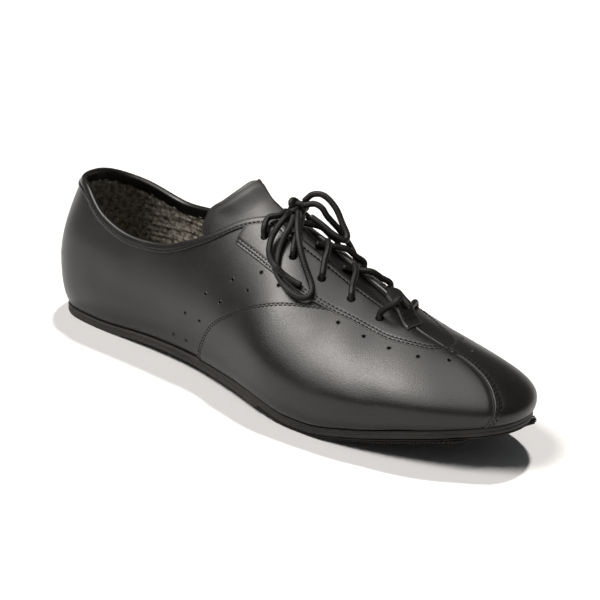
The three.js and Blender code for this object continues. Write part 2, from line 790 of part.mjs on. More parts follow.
function keeperGeometry() {
  const strap = sheet(steps(12), between(-1, 1, 4), keeperPoint, 0, KEEPER_THICKNESS);
  const hole = new THREE.CylinderGeometry(1, 1, 6 * KEEPER_THICKNESS, 12);
  hole.scale(3, 1, 4.1).rotateX(Math.PI / 2);
  const middle = keeperPoint(KEEPER_HOLE, 0, KEEPER_THICKNESS / 2);
  hole.translate(middle.x, middle.y, middle.z);
  return fromSolid(toSolid(strap).subtract(toSolid(hole)));
}

// A round lace along a smooth path through points, with a section every so many diameters
function laceGeometry(points, spacing = 2.2, diameter = LACE) {
  const path = new THREE.CatmullRomCurve3(points);
  const radius = diameter / 2;
  const section = new THREE.Shape(steps(8).slice(0, 8).map((t) => {
    const turn = 2 * Math.PI * t;
    return new THREE.Vector2(radius * Math.cos(turn), radius * Math.sin(turn));
  }));
  return new THREE.ExtrudeGeometry(section, {
    steps: Math.ceil(path.getLength() / (spacing * diameter)),
    extrudePath: path,
    bevelEnabled: false,
  });
}

// Heights of a lace's middle over the last: on the facings, on the tongue, and on the lace under it
const ON_FACING = SEAT + OVERLAY + GAP + LACE / 2;
const ON_TONGUE = GAP + LACE / 2 - TONGUE_DEPTH;
const ON_LACE = ON_TONGUE + 0.9 * LACE;

// A strand from an eyelet over its facing, across the tongue and under the other facing
function strandPoints(side, eyelet, next, slack, crossing) {
  const up = upOf(side, eyelet);
  const edge = topEdge(side, mix(eyelet.at, next.at, 0.2));
  const beyond = mix(eyelet.at, next.at, 0.68);
  const farUp = mix(1, topEdge(-side, beyond), 0.55);
  return [
    offset(side, eyelet.at, up, ON_FACING - LACE / 2),
    offset(side, mix(eyelet.at, next.at, 0.03), mix(up, edge, 0.12), ON_FACING + 0.15 * LACE),
    offset(side, mix(eyelet.at, next.at, 0.16), mix(up, edge, 0.6), ON_FACING + slack * 0.8),
    offset(side, mix(eyelet.at, next.at, 0.28), edge + 0.02, ON_FACING + slack),
    offset(side, mix(eyelet.at, next.at, 0.5), 1, crossing),
    offset(-side, beyond, farUp, ON_TONGUE + 0.3),
  ];
}

// Both strands of a pair of eyelets, joined where the outer one crosses over
function crossGeometry(eyelet, next) {
  const outer = laceGeometry(strandPoints(OUTER, eyelet, next, 0.6, ON_LACE), 1);
  const inner = laceGeometry(strandPoints(INNER, eyelet, next, 0.15, ON_TONGUE), 1);
  return fromSolid(toSolid(outer).add(toSolid(inner)));
}

// The lace's first bar, next to the toe, dips through the hole of the keeper
function barGeometry(eyelet) {
  const end = (side) => [
    offset(side, eyelet.at, upOf(side, eyelet), ON_FACING - LACE / 2),
    offset(side, eyelet.at, upOf(side, eyelet) + 0.01, ON_FACING + 0.2 * LACE),
  ];
  const top = KEEPER_THICKNESS + GAP + LACE / 2;
  return laceGeometry([
    ...end(OUTER),
    keeperPoint(KEEPER_HOLE, -1.1, top + 0.3),
    keeperPoint(KEEPER_HOLE, -0.52, top + 1),
    keeperPoint(KEEPER_HOLE, 0.02, KEEPER_THICKNESS / 2),
    keeperPoint(KEEPER_HOLE, 0.56, -GAP - LACE / 2 - 1),
    ...end(INNER).reverse(),
  ], 1);
}

// Tops of the lace: from the first eyelets up to the knot
function topStrandGeometry(side) {
  const eyelet = EYELETS[0];
  const up = upOf(side, eyelet);
  return laceGeometry([
    offset(side, eyelet.at, up, ON_FACING - LACE / 2 + 0.2),
    offset(side, eyelet.at - 0.002, up + 0.02, ON_FACING + 0.4 * LACE),
    offset(side, eyelet.at - 0.006, mix(up, 1, 0.3), ON_FACING + 0.8),
    new THREE.Vector3(KNOT[0] - LACE / 2, KNOT[1] + side * 3 * LACE, KNOT[2] - 0.8 * LACE),
    new THREE.Vector3(KNOT[0] - 0.8 * LACE, KNOT[1] + side * 1.87 * LACE, KNOT[2] - 0.5 * LACE),
  ], 1);
}

const finish = (color, roughness) => new THREE.MeshStandardMaterial({ color, roughness, metalness: 0 });
const finishes = {
  upper: finish(0x1b1a1a, 0.42),
  overlay: finish(0x1d1c1c, 0.4),
  band: finish(0x181717, 0.5),
  tongue: finish(0x211f1f, 0.5),
  sole: finish(0x151413, 0.6),
  tread: finish(0x121212, 0.85),
  insole: finish(0x2a2825, 0.8),
  lace: finish(0x0f0e0e, 0.55),
};

const shoe = new THREE.Group();
function add(name, geometry, material) {
  const piece = new THREE.Mesh(geometry, material.clone());
  piece.name = name;
  shoe.add(piece);
}

add('outsole', outsoleGeometry(), finishes.sole);
add('forefoot_tread', treadGeometry(), finishes.tread);
add('insole', insoleGeometry(), finishes.insole);
add('upper', upperWithEyelets(), finishes.upper);
add('collar_band', collarBandGeometry(), finishes.band);
add('tongue', tongueGeometry(), finishes.tongue);
for (const [name, side] of [['outer', OUTER], ['inner', INNER]]) {
  add(`vamp_${name}`, vampGeometry(side), finishes.overlay);
  add(`eyestay_${name}`, punched(eyestayGeometry(side), side, EYELETS), finishes.overlay);
}
add('lace_keeper', keeperGeometry(), finishes.overlay);
for (const pair of [1, 2, 3]) {
  add(`lace_cross_${pair}`, crossGeometry(EYELETS[pair], EYELETS[pair - 1]), finishes.lace);
}
add('lace_bar', barGeometry(EYELETS[4]), finishes.lace);
add('top_strand_outer', topStrandGeometry(OUTER), finishes.lace);
add('top_strand_inner', topStrandGeometry(INNER), finishes.lace);
add('lace_knot', new THREE.SphereGeometry(KNOT_WIDTH / 2, 12, 8).translate(...KNOT), finishes.lace);
for (const [name, points] of Object.entries(BOW)) {
  add(name, laceGeometry(points.map((point) => new THREE.Vector3(...point))), finishes.lace);
}

export default shoe;
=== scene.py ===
"""Dresses the solids of a lace-up cycling shoe for the right foot, empty and unbent on its sole.

Metres: +X points to the toe, -Y is the outer side, +Z is up, and the floor is z = 0.
The last, the form that the leather is drawn over, is worked out here as in the part's source.
"""

import math

import bmesh
import bpy
import numpy as np
from mathutils import Matrix, Vector


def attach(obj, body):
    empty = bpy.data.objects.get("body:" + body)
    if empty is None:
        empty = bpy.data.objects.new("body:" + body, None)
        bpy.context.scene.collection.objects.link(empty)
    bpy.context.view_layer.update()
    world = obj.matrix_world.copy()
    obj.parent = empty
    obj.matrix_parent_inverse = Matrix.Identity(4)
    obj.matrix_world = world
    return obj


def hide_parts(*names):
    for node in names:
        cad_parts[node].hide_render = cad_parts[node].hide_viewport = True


bl_info = {
    "name": "Cycling shoe",
    "version": (1, 0, 0),
    "blender": (4, 5, 0),
    "location": "3D View > Sidebar > Shoe",
    "description": "Dresses the solids of a lace-up cycling shoe in leather, rubber and cord",
    "category": "Object",
}

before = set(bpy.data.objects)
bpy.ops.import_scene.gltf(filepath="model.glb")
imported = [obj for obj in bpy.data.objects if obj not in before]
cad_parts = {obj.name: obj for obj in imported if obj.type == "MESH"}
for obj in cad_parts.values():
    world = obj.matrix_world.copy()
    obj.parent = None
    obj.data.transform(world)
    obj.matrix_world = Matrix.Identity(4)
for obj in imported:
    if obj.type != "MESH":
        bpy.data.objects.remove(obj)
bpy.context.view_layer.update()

MM = 0.001

# Sole
LENGTH = 288 * MM
HEEL_SEAT = 30 * MM  # from the sole's back edge to the origin
BALL_WIDTH = 82.8 * MM
HEEL_RADIUS = 29 * MM
TOE_RADIUS = 26.4 * MM
HEEL_BEVEL = 1 * MM
ARCH_RISE = 3 * MM
TOE_SPRING = 17.3 * MM
HEEL_SOLE = 4.4 * MM
BALL_SOLE = 5.6 * MM
TREAD = 1.2 * MM
TREAD_BACK = 0.597 * LENGTH  # from the sole's back edge
TREAD_INSET = 0.4 * MM
INSOLE = 2 * MM

# Upper
CONE_HEIGHT = 106.7 * MM  # ridge of the last over the sole, at its back end
RIDGE_BACK = 34 * MM  # from the sole's back edge to the ridge's back end
RIDGE_FRONT = 36 * MM  # from the ridge's front end to the sole's toe
WAIST_HEIGHT = 25 * MM  # fullest line over the sole, at the heel
OVERHANG = 3 * MM  # of the fullest line past the sole's edge
FEATHER_INSET = 1.5 * MM  # from the sole's edge to the upper's foot
BACK_HEIGHT = 68 * MM  # collar over the sole, at the heel
WALL = 2 * MM
OVERLAY = 0.9 * MM
BAND_WIDTH = 4.5 * MM
THROAT_GAP = 16 * MM  # between the facings, at the collar
THROAT_BASE = 0.74 * LENGTH  # from the sole's back edge to the throat's front end
TONGUE = 2.2 * MM
TONGUE_TOP = 0.452  # place along the last of the tongue's back edge
TONGUE_FOOT = 0.735
TONGUE_BACK_HALF = 0.43  # share of the wall from the ridge down
TONGUE_FRONT_HALF = 0.2
TONGUE_LIFT = 3 * MM  # of the back edge's middle off the last

# Lacing
LACE = 3 * MM
EYELET = 4.2 * MM
KEEPER_LENGTH = 21 * MM
KEEPER_WIDTH = 10 * MM
KEEPER_THICKNESS = 1.5 * MM
KEEPER_FRONT = THROAT_BASE + 18 * MM  # from the sole's back edge to the sewn end
KEEPER_RISE = 5 * MM  # of its free end over the facings
KEEPER_HOLE = 0.44  # share of its length, from the sewn end

GAP = 0.3 * MM  # between pieces that touch
SEAT = 0.36 * MM  # under an overlay
TOP = SEAT + OVERLAY
SHEET_ROUND = 0.35 * MM  # of the edges of a leather sheet
SHEET_UNDER = 0.02 * MM  # from the last to a sheet's underside
CLEAR_OF_EDGE_PAINT = 10 * MM  # a distance from the nearest edge at which neither wear nor painted highlight is left
PUNCH_DEPTH = 16 * MM
PUNCH_RIM = 0.4 * MM  # of the soft rim round a pinhole
SLOT_HALF = (3 * MM, 4.1 * MM)  # of the keeper's slot, along the shoe and across it
LINING_DROP = 5.2 * MM  # from the rim to the lining's top edge
TUFT_SEED = 7

OUTER = -1
INNER = 1

# Half width of the sole by the share of its length, as a share of half the ball width
OUTLINE = [
    (0.05, 0.606), (0.13, 0.732), (0.25, 0.684), (0.4, 0.635), (0.5, 0.725),
    (0.62, 0.942), (0.72, 1), (0.82, 0.896), (0.9, 0.729), (0.96, 0.507),
]

# How far the middle of the sole lies to the inner side, in the same shares
CENTRE = [
    (0, -0.019), (0.05, -0.019), (0.13, 0.005), (0.25, -0.029), (0.4, -0.114), (0.5, -0.147),
    (0.62, -0.109), (0.72, -0.031), (0.82, 0.031), (0.9, 0.092), (0.96, 0.143), (1, 0.094),
]

# Rise of the tread over the floor by the share of the length: shares of heel bevel, arch and toe spring
BOTTOM = [
    (0, 1, 0, 0), (0.04, 0, 0, 0), (0.14, 0, 0, 0), (0.28, 0, 0.8, 0), (0.42, 0, 1, 0),
    (0.53, 0, 1, 0), (0.6, 0, 0.77, 0), (0.665, 0, 0, 0), (0.7, 0, 0, 0), (0.78, 0, 0, 0.202),
    (0.88, 0, 0, 0.566), (0.96, 0, 0, 0.838), (1, 0, 0, 1),
]

# Sole thickness by the share of the length, from the heel's (0) to the ball's (1)
THICKNESS = [(0.3, 0), (0.6, 1)]

# Fullest line of the wall by the share of the length: overhang outside and inside, and height
WAIST = [
    (0, 1.25, 1.25, 1), (0.13, 1.13, 1.03, 1.04), (0.3, 1, 1.67, 1), (0.5, 1, 1.33, 0.9),
    (0.65, 0.75, 0.75, 0.684), (0.8, 0.65, 0.58, 0.5), (0.9, 0.5, 0.3, 0.344), (1, -0.1, -0.1, 0.12),
]

# How full the shoulder under the ridge is by the share of the length, outside and inside
SHOULDER = [
    (0, 0.27, 0.27), (0.4, 0.27, 0.27), (0.55, 0.27, 0.18), (0.7, 0.27, 0.12),
    (0.82, 0.27, 0.17), (0.93, 0.27, 0.27), (1, 0.27, 0.27),
]

# Ridge of the last over the sole by the share of the length, as a share of the cone height
RIDGE = [
    (0.1, 1), (0.25, 0.983), (0.4, 0.85), (0.5, 0.725),
    (0.6, 0.599), (0.7, 0.482), (0.8, 0.363), (0.88, 0.259),
]

# How far the ridge lies to the inner side, as a share of half the ball width
RIDGE_LINE = [
    (0.05, 0.01), (0.3, 0.012), (0.45, 0.015), (0.57, 0.024), (0.605, 0.051), (0.65, 0.101),
    (0.69, 0.114), (0.72, 0.101), (0.745, 0.035), (0.77, -0.03), (0.8, -0.075), (0.84, -0.08),
    (0.88, -0.06),
]

# Collar height over the sole by the share of the length, outside and inside, as a share of the back height
COLLAR = [
    (0, 0.975, 0.975), (0.06, 0.995, 0.885), (0.14, 0.845, 0.782), (0.24, 0.732, 0.778),
    (0.32, 0.754, 0.776), (0.4, 0.897, 0.897), (0.46, 1.038, 1.029), (0.52, 1.088, 1.132),
]

# Half the throat's opening as a share of the gap, by the way back from the throat's base
THROAT = [(0, 0), (0.02, 0.16), (0.06, 0.25), (0.2, 0.36), (0.5, 0.43), (1, 0.5)]

# Lower edge of the eyestay: share of the way up the wall, by the place along the last
STAY_SEAM = [
    (0.47, 0.653), (0.532, 0.666), (0.605, 0.69), (0.66, 0.712), (0.732, 0.725),
    (0.788, 0.77), (0.83, 0.81), (0.893, 0.92), (0.955, 1), (1, 1),
]

# Back edge of the vamp's wing: place along the last, by the share of the way up the wall
WING_SEAM = [(0, 0.447), (0.15, 0.457), (0.36, 0.492), (0.52, 0.541), (0.645, 0.593), (0.715, 0.635)]

# Toe seam below the ridge, on the outer side, in the same way
TOE_SEAM = [(0, 0.897), (0.22, 0.904), (0.45, 0.928), (0.68, 0.962), (0.92, 0.987), (1, 1)]

# Pairs of eyelets from the collar to the toe: place along the last, and share of the way up each side
EYELETS = [
    (0.512, 0.758, 0.735), (0.56, 0.779, 0.755), (0.605, 0.792, 0.765),
    (0.652, 0.805, 0.775), (0.705, 0.808, 0.785),
]

# The tongue's back edge: how far it sweeps back, by the way out from the tongue's middle
TONGUE_EDGE = [
    (0, 0), (0.15, 0.006), (0.35, 0.012), (0.55, 0.023), (0.75, 0.038), (0.87, 0.038), (1, 0.018),
]

# Pinholes: place along the last, and share of the way up the wall
VAMP_HOLES = [(0.65, 0.679), (0.69, 0.679), (0.735, 0.683), (0.79, 0.708), (0.87, 0.779)]
QUARTER_HOLES = [
    (0.53, 0.638), (0.495, 0.538), (0.462, 0.421), (0.432, 0.283), (0.408, 0.133),
    (0.56, 0.65), (0.522, 0.546), (0.488, 0.429), (0.458, 0.283), (0.43, 0.129),
]

# Middle of the knot, and the ways of the bow's loops and ends from it
KNOT = (0.1205, 0.0015, 0.086)
BOW = {
    "outer_loop": [
        (0.127, -0.0065, 0.0848), (0.1292, -0.0108, 0.0816), (0.1294, -0.0151, 0.0768),
        (0.1304, -0.0189, 0.072), (0.1329, -0.0228, 0.0677), (0.1358, -0.026, 0.0648),
        (0.1414, -0.028, 0.0612), (0.1477, -0.0286, 0.0586), (0.1526, -0.0277, 0.0572),
        (0.1554, -0.0255, 0.0574), (0.1555, -0.023, 0.0594), (0.1532, -0.0207, 0.0616),
        (0.1495, -0.0192, 0.0652), (0.145, -0.0179, 0.0702), (0.1412, -0.0162, 0.0748),
        (0.137, -0.0136, 0.0794), (0.1326, -0.0096, 0.0834), (0.1276, -0.004, 0.0864),
    ],
    "outer_end": [
        (0.1226, -0.005, 0.0854), (0.1252, -0.0106, 0.0846), (0.125, -0.0154, 0.0806),
        (0.125, -0.019, 0.0759), (0.1276, -0.0229, 0.0718), (0.1326, -0.0266, 0.0696),
        (0.1377, -0.0284, 0.068), (0.1419, -0.0268, 0.0646), (0.1462, -0.0252, 0.0624),
        (0.149, -0.0242, 0.0614),
    ],
    "inner_loop": [
        (0.1215, 0.0066, 0.0886), (0.1242, 0.0088, 0.0918), (0.129, 0.011, 0.0923),
        (0.1356, 0.0125, 0.0877), (0.1416, 0.012, 0.0804), (0.1455, 0.011, 0.0762),
        (0.146, 0.0092, 0.0746), (0.1442, 0.0072, 0.0756), (0.1406, 0.0052, 0.0778),
        (0.136, 0.0034, 0.081), (0.131, 0.0016, 0.0838),
    ],
    "inner_end": [
        (0.1242, 0.0033, 0.0876), (0.1284, 0.006, 0.0888), (0.1322, 0.0072, 0.0874),
        (0.1346, 0.0082, 0.084), (0.136, 0.0104, 0.081), (0.1374, 0.0132, 0.0776),
        (0.139, 0.016, 0.0734), (0.1406, 0.0188, 0.0684), (0.1418, 0.0214, 0.063),
        (0.1428, 0.0238, 0.0574),
    ],
}

# Soft creases of the leather: its two ends, how wide it is and how deep; a ridge has a negative depth
CREASES = [
    ((0.203, -0.040, 0.030), (0.216, -0.030, 0.016), 0.007, 0.0005),
    ((0.018, -0.034, 0.030), (0.060, -0.031, 0.026), 0.010, 0.0006),
    ((-0.012, -0.030, 0.048), (0.030, -0.032, 0.040), 0.008, -0.0004),
    ((0.126, -0.028, 0.050), (0.158, -0.030, 0.043), 0.003, 0.0003),
]

# The photograph's camera: direction and roll in degrees, the point it looks at, its distance and its scale
CAMERA_AZIMUTH = 43.05
CAMERA_ELEVATION = 20.85
CAMERA_ROLL = 2.23
CAMERA_TARGET = (0.12703, 0.0, 0.04148)
CAMERA_DISTANCE = 0.82924
PICTURE_WIDTH = 600  # of the photograph, in its own pixels
PIXELS_PER_METRE = 2090  # of the photograph, at the camera's distance
SENSOR_WIDTH = 36

LIGHT_COLOUR = (1, 0.965, 0.93)
SKY_COLOUR = (0.9, 0.92, 0.95, 1)
SKY_STRENGTH = 0.08
FLOOR_HALF = 6.0


class ShoeSizes(bpy.types.PropertyGroup):
    """Sizes of the finer work, which the solids leave out."""

    stitch_length: bpy.props.FloatProperty(
        name="Stitch length", description="Length of thread that shows in one stitch",
        default=1.5 * MM, unit="LENGTH", precision=4)
    stitch_gap: bpy.props.FloatProperty(
        name="Stitch gap", description="Room between one stitch and the next",
        default=0.7 * MM, unit="LENGTH", precision=4)
    thread: bpy.props.FloatProperty(
        name="Thread", description="Thickness of the sewing thread",
        default=0.72 * MM, unit="LENGTH", precision=4)
    first_row: bpy.props.FloatProperty(
        name="First row", description="From a leather edge to its first row of stitches",
        default=1.15 * MM, unit="LENGTH", precision=4)
    row_gap: bpy.props.FloatProperty(
        name="Row gap", description="Between the two rows of a double seam",
        default=1.6 * MM, unit="LENGTH", precision=4)
    pinhole: bpy.props.FloatProperty(
        name="Pinhole", description="Diameter of a punched pinhole",
        default=1.9 * MM, unit="LENGTH", precision=4)
    rib_pitch: bpy.props.FloatProperty(
        name="Rib pitch", description="From one rib of the half-sole to the next",
        default=1.6 * MM, unit="LENGTH", precision=4)
    rib_height: bpy.props.FloatProperty(
        name="Rib height", description="Depth of the half-sole's ribs",
        default=0.45 * MM, unit="LENGTH", precision=4)
    pile: bpy.props.FloatProperty(
        name="Pile", description="Depth of the lining's pile",
        default=0.8 * MM, unit="LENGTH", precision=4)


class ShoeColours(bpy.types.PropertyGroup):
    """Colours of the finishes."""

    leather: bpy.props.FloatVectorProperty(
        name="Leather", description="Upper, band and tongue", subtype="COLOR",
        default=(0.0075, 0.0067, 0.0062))
    raw_edge: bpy.props.FloatVectorProperty(
        name="Raw edge", description="Cut edges of the leather", subtype="COLOR",
        default=(0.12, 0.112, 0.105))
    thread: bpy.props.FloatVectorProperty(
        name="Thread", description="Sewing thread", subtype="COLOR",
        default=(0.006, 0.0058, 0.0055))
    lace: bpy.props.FloatVectorProperty(
        name="Lace", description="Waxed cord of the lace", subtype="COLOR",
        default=(0.006, 0.0054, 0.005))
    lining: bpy.props.FloatVectorProperty(
        name="Lining", description="Pile of the lining", subtype="COLOR",
        default=(0.4, 0.37, 0.31))
    insole: bpy.props.FloatVectorProperty(
        name="Insole", description="Fabric face of the insole", subtype="COLOR",
        default=(0.03, 0.029, 0.026))
    sole: bpy.props.FloatVectorProperty(
        name="Sole", description="Board of the sole", subtype="COLOR",
        default=(0.024, 0.0215, 0.0195))
    rubber: bpy.props.FloatVectorProperty(
        name="Rubber", description="Rubber half-sole", subtype="COLOR",
        default=(0.018, 0.0165, 0.0155))
    floor: bpy.props.FloatVectorProperty(
        name="Floor", description="Floor that the shoe stands on", subtype="COLOR",
        default=(0.9, 0.9, 0.9))


def sizes():
    return bpy.context.scene.shoe_sizes


def colours():
    return bpy.context.scene.shoe_colours


def curve(rows, column=1, level=False):
    """A smooth curve through a table's column. A level curve doesn't swing past its rows."""
    x = np.array([row[0] for row in rows], float)
    y = np.array([row[column] for row in rows], float)
    steep = np.diff(y) / np.diff(x)
    slopes = np.zeros(len(x))
    if len(x) > 2:
        back = np.diff(x)[:-1]
        ahead = np.diff(x)[1:]
        inside = (steep[:-1] * ahead + steep[1:] * back) / (back + ahead)
        turning = level & (steep[:-1] * steep[1:] <= 0)
        slopes[1:-1] = np.where(turning, 0, inside)
        slopes[0] = 1.5 * steep[0] - 0.5 * slopes[1]
        slopes[-1] = 1.5 * steep[-1] - 0.5 * slopes[-2]

    def through(at):
        at = np.asarray(at, float)
        i = np.clip(np.searchsorted(x, at) - 1, 0, len(x) - 2)
        span = x[i + 1] - x[i]
        t = np.clip((at - x[i]) / span, 0, 1)
        rest = 1 - t
        ends = (1 + 2 * t) * rest * rest * y[i] + t * t * (3 - 2 * t) * y[i + 1]
        return ends + t * rest * span * (rest * slopes[i] - t * slopes[i + 1])

    return through


def share_of(place):
    return (1 - np.cos(np.pi * place)) / 2


def place_of(share):
    return np.arccos(1 - 2 * np.asarray(share, float)) / np.pi


def mix(a, b, share):
    return a + (b - a) * share


def smoothstep(low, high, value):
    t = np.clip((value - low) / (high - low), 0, 1)
    return t * t * (3 - 2 * t)


def unit(vectors):
    return vectors / np.maximum(np.linalg.norm(vectors, axis=-1, keepdims=True), 1e-12)


HALF = BALL_WIDTH / 2
fullness = curve(
    [(0, math.sqrt(HEEL_RADIUS * LENGTH / 2))]
    + [(place_of(at), half * HALF / np.sin(np.pi * place_of(at))) for at, half in OUTLINE]
    + [(1, math.sqrt(TOE_RADIUS * LENGTH / 2))]
)
centre = curve(CENTRE)
bevel, arch, spring = [curve(BOTTOM, column, True) for column in (1, 2, 3)]
thicken = curve(THICKNESS)
overhang_outer, overhang_inner, waist = [curve(WAIST, column) for column in (1, 2, 3)]
shoulder_outer, shoulder_inner = [curve(SHOULDER, column, True) for column in (1, 2)]
ridge_height = curve(RIDGE)
ridge_line = curve(RIDGE_LINE)
collar_outer, collar_inner = [curve(COLLAR, column) for column in (1, 2)]
throat = curve(THROAT, 1, True)
stay_seam = curve(STAY_SEAM, 1, True)
wing_seam = curve(WING_SEAM)
toe_seam = curve(TOE_SEAM)
tongue_edge = curve(TONGUE_EDGE, 1, True)


def ground_rise(share):
    return HEEL_BEVEL * bevel(share) + ARCH_RISE * arch(share) + TOE_SPRING * spring(share)


def sole_thickness(share):
    return HEEL_SOLE + (BALL_SOLE - HEEL_SOLE) * thicken(share)


def sole_top(share):
    return ground_rise(share) + sole_thickness(share)


def floats(*parts):
    """Numbers and arrays as float arrays of one shape."""
    return np.broadcast_arrays(*[np.asarray(part, float) for part in parts])


def stack(*parts):
    return np.stack(np.broadcast_arrays(*parts), -1)

def outline(side, place):
    """A point of the sole's outline, seen from above."""
    share = share_of(place)
    out = fullness(place) * np.sin(np.pi * place)
    return stack(LENGTH * share - HEEL_SEAT, centre(share) * HALF + side * out)


def ridge(place):
    """A point of the last's ridge, over which both sides of the wall meet."""
    along = RIDGE_BACK + (LENGTH - RIDGE_BACK - RIDGE_FRONT) * share_of(place)
    share = along / LENGTH
    height = CONE_HEIGHT * ridge_height(share) + sole_top(share) + GAP
    return stack(along - HEEL_SEAT, ridge_line(share) * HALF, height)


def inset_outline(side, place, inset):
    """The outline moved in towards the ridge."""
    edge = outline(side, place)
    return edge + unit(ridge(place)[..., :2] - edge) * inset


def sole_line(side, place, inset, height):
    """The outline moved in towards the ridge, at a height."""
    flat = inset_outline(side, place, inset)
    return stack(flat[..., 0], flat[..., 1], height)


def bezier(a, b, c, d, t):
    rest = 1 - t
    return rest**3 * a + 3 * rest * rest * t * b + 3 * rest * t * t * c + t**3 * d


FULLEST = 0.3  # share of the way up the wall at which it is fullest
FOOT_PULL = 0.75
UPPER_PULL = 0.35


def last(side, place, up):
    """The outer surface of the last: side, place along it, and share of the way up from sole to ridge.

    Past the heel, the toe or the ridge the same surface goes on along the other side.
    """
    side, place, up = floats(side, place, up)
    side = np.where(place < 0, -side, side)
    place = np.abs(place)
    side = np.where(place > 1, -side, side)
    place = np.where(place > 1, 2 - place, place)
    side = np.where(up > 1, -side, side)
    up = np.where(up > 1, 2 - up, up)
    share = share_of(place)
    edge = outline(side, place)
    top = ridge(place)
    away = edge - top[..., :2]
    reach = np.linalg.norm(away, axis=-1)
    away = unit(away)
    foot = sole_top(share) + GAP
    height = WAIST_HEIGHT * waist(share)
    near = reach - FEATHER_INSET
    far = reach + OVERHANG * np.where(side < 0, overhang_outer(share), overhang_inner(share))
    full = foot + height
    below = np.clip(up / FULLEST, 0, 1)
    above = np.clip((up - FULLEST) / (1 - FULLEST), 0, 1)
    shoulder = np.where(side < 0, shoulder_outer(share), shoulder_inner(share))
    out = np.where(
        up < FULLEST,
        bezier(near, near + (far - near) * FOOT_PULL, far, far, below),
        bezier(far, far, far * shoulder, 0, above),
    )
    z = np.where(
        up < FULLEST,
        bezier(foot, foot + height * 0.12, foot + height * 0.55, full, below),
        bezier(full, full + (top[..., 2] - full) * UPPER_PULL, top[..., 2], top[..., 2], above),
    )
    flat = top[..., :2] + away * out[..., None]
    return stack(flat[..., 0], flat[..., 1], z)


STEP = 0.002  # share of the last over which its slopes are measured


def slope(side, place, up):
    along = last(side, place + STEP, up) - last(side, place - STEP, up)
    upwards = last(side, place, np.minimum(up + STEP, 1)) - last(side, place, up - STEP)
    return unit(np.cross(along, upwards) * -side[..., None])


def outward(side, place, up):
    """The last's outward direction, level at the wall's foot."""
    side, place, up = floats(side, place, up)
    side = np.where(up > 1, -side, side)
    up = np.where(up > 1, 2 - up, up)
    wall = slope(side, place, np.clip(up, 0.01, 0.98))
    both = np.full_like(up, 0.98)
    sides = [slope(np.full_like(side, way), place, both) for way in (OUTER, INNER)]
    crown = unit(sides[0] + sides[1])
    direction = unit(mix(wall, crown, smoothstep(0.95, 1, up)[..., None]))
    direction[..., 2] *= smoothstep(0, 0.12, up)
    return unit(direction)


def offset(side, place, up, height):
    """A point at a height over the last's surface, or under it when the height is negative."""
    return last(side, place, up) + outward(side, place, up) * np.asarray(height, float)[..., None]


def up_per_metre(side, place, up):
    apart = last(side, place, up + STEP) - last(side, place, up - STEP)
    return 2 * STEP / np.linalg.norm(apart, axis=-1)


def place_per_metre(side, place, up):
    apart = last(side, place + STEP, up) - last(side, place - STEP, up)
    return 2 * STEP / np.linalg.norm(apart, axis=-1)


throat_place = float(place_of((THROAT_BASE - RIDGE_BACK) / (LENGTH - RIDGE_BACK - RIDGE_FRONT)))
band_end = throat_place - 0.008
COLLAR_FRONT = 0.52  # share of the length where the collar meets the throat
CORNER = 0.05  # how softly collar and facing meet


def climb(test, shape):
    """The first share of the way up the wall, above its fullest line, that passes a test."""
    below = np.full(shape, FULLEST)
    above = np.ones(shape)
    for _ in range(24):
        middle = (below + above) / 2
        passed = test(middle)
        above = np.where(passed, middle, above)
        below = np.where(passed, below, middle)
    return above


def top_edge(side, place):
    """The upper's top edge: where the wall reaches the collar's height or the throat's opening."""
    side, place = floats(side, np.abs(place))
    share = share_of(place)
    collar = np.where(side < 0, collar_outer(share), collar_inner(share))
    limit = BACK_HEIGHT * collar + sole_top(share) + GAP
    top = ridge(place)
    back = (THROAT_BASE - HEEL_SEAT - top[..., 0]) / (THROAT_BASE - COLLAR_FRONT * LENGTH)
    opening = THROAT_GAP * throat(back)

    def high(up):
        return last(side, place, up)[..., 2] >= limit

    def close(up):
        apart = last(side, place, up)[..., :2] - top[..., :2]
        return np.linalg.norm(apart, axis=-1) <= opening

    low = climb(high, place.shape)
    wide = climb(close, place.shape)
    blend = np.clip(0.5 + (wide - low) / (2 * CORNER), 0, 1)
    edge = wide + (low - wide) * blend - CORNER * blend * (1 - blend)
    return np.where(place >= throat_place, 1.0, edge)


def band_foot(side, place):
    """Share of the way up the wall at the lower edge of the collar band."""
    top = top_edge(side, place)
    return top - BAND_WIDTH * up_per_metre(side, np.abs(place), top)


def surface_over(x, y, height):
    """How high a surface over the last lies at a point beside the ridge."""
    place = place_of((x + HEEL_SEAT - RIDGE_BACK) / (LENGTH - RIDGE_BACK - RIDGE_FRONT))
    up = np.full_like(x, 0.95)
    for _ in range(12):
        side = np.where(y < ridge(place)[..., 1], OUTER, INNER)
        point = offset(side, place, up, height)
        place = place + (x - point[..., 0]) * place_per_metre(side, place, up)
        up = up - side * (y - point[..., 1]) * up_per_metre(side, place, np.minimum(up, 0.98))
        up = np.clip(up, 0.7, 1)
    return point[..., 2]


def crease_depth(points):
    """How deep the soft creases lie at each point."""
    depth = np.zeros(points.shape[:-1])
    for start, end, width, deepest in CREASES:
        start = np.array(start)
        way = np.array(end) - start
        t = np.clip(((points - start) @ way) / (way @ way), 0, 1)
        away = np.linalg.norm(points - start - t[..., None] * way, axis=-1)
        depth += deepest * np.exp(-((away / width) ** 2))
    return depth


def spread(count, length, low=(), high=()):
    """Even steps from 0 to 1, with closer ones at given distances from either end of a length."""
    start = [distance / length for distance in low]
    end = [1 - distance / length for distance in high]
    first = max(start, default=0)
    final = min(end, default=1)
    even = list(np.linspace(first, final, count + 1))
    return np.array(sorted({round(float(t), 6) for t in start + even + end + [0.0, 1.0]}))


NEAR_EDGE = [d * MM for d in (0, 0.08, 0.2, 0.4, 0.7, 1, 1.3, 1.6, 2, 2.4, 2.8, 3.2, 3.6, 4, 4.6, 5.4)]
AT_EDGE = [d * MM for d in (0, 0.08, 0.2, 0.4, 0.8)]


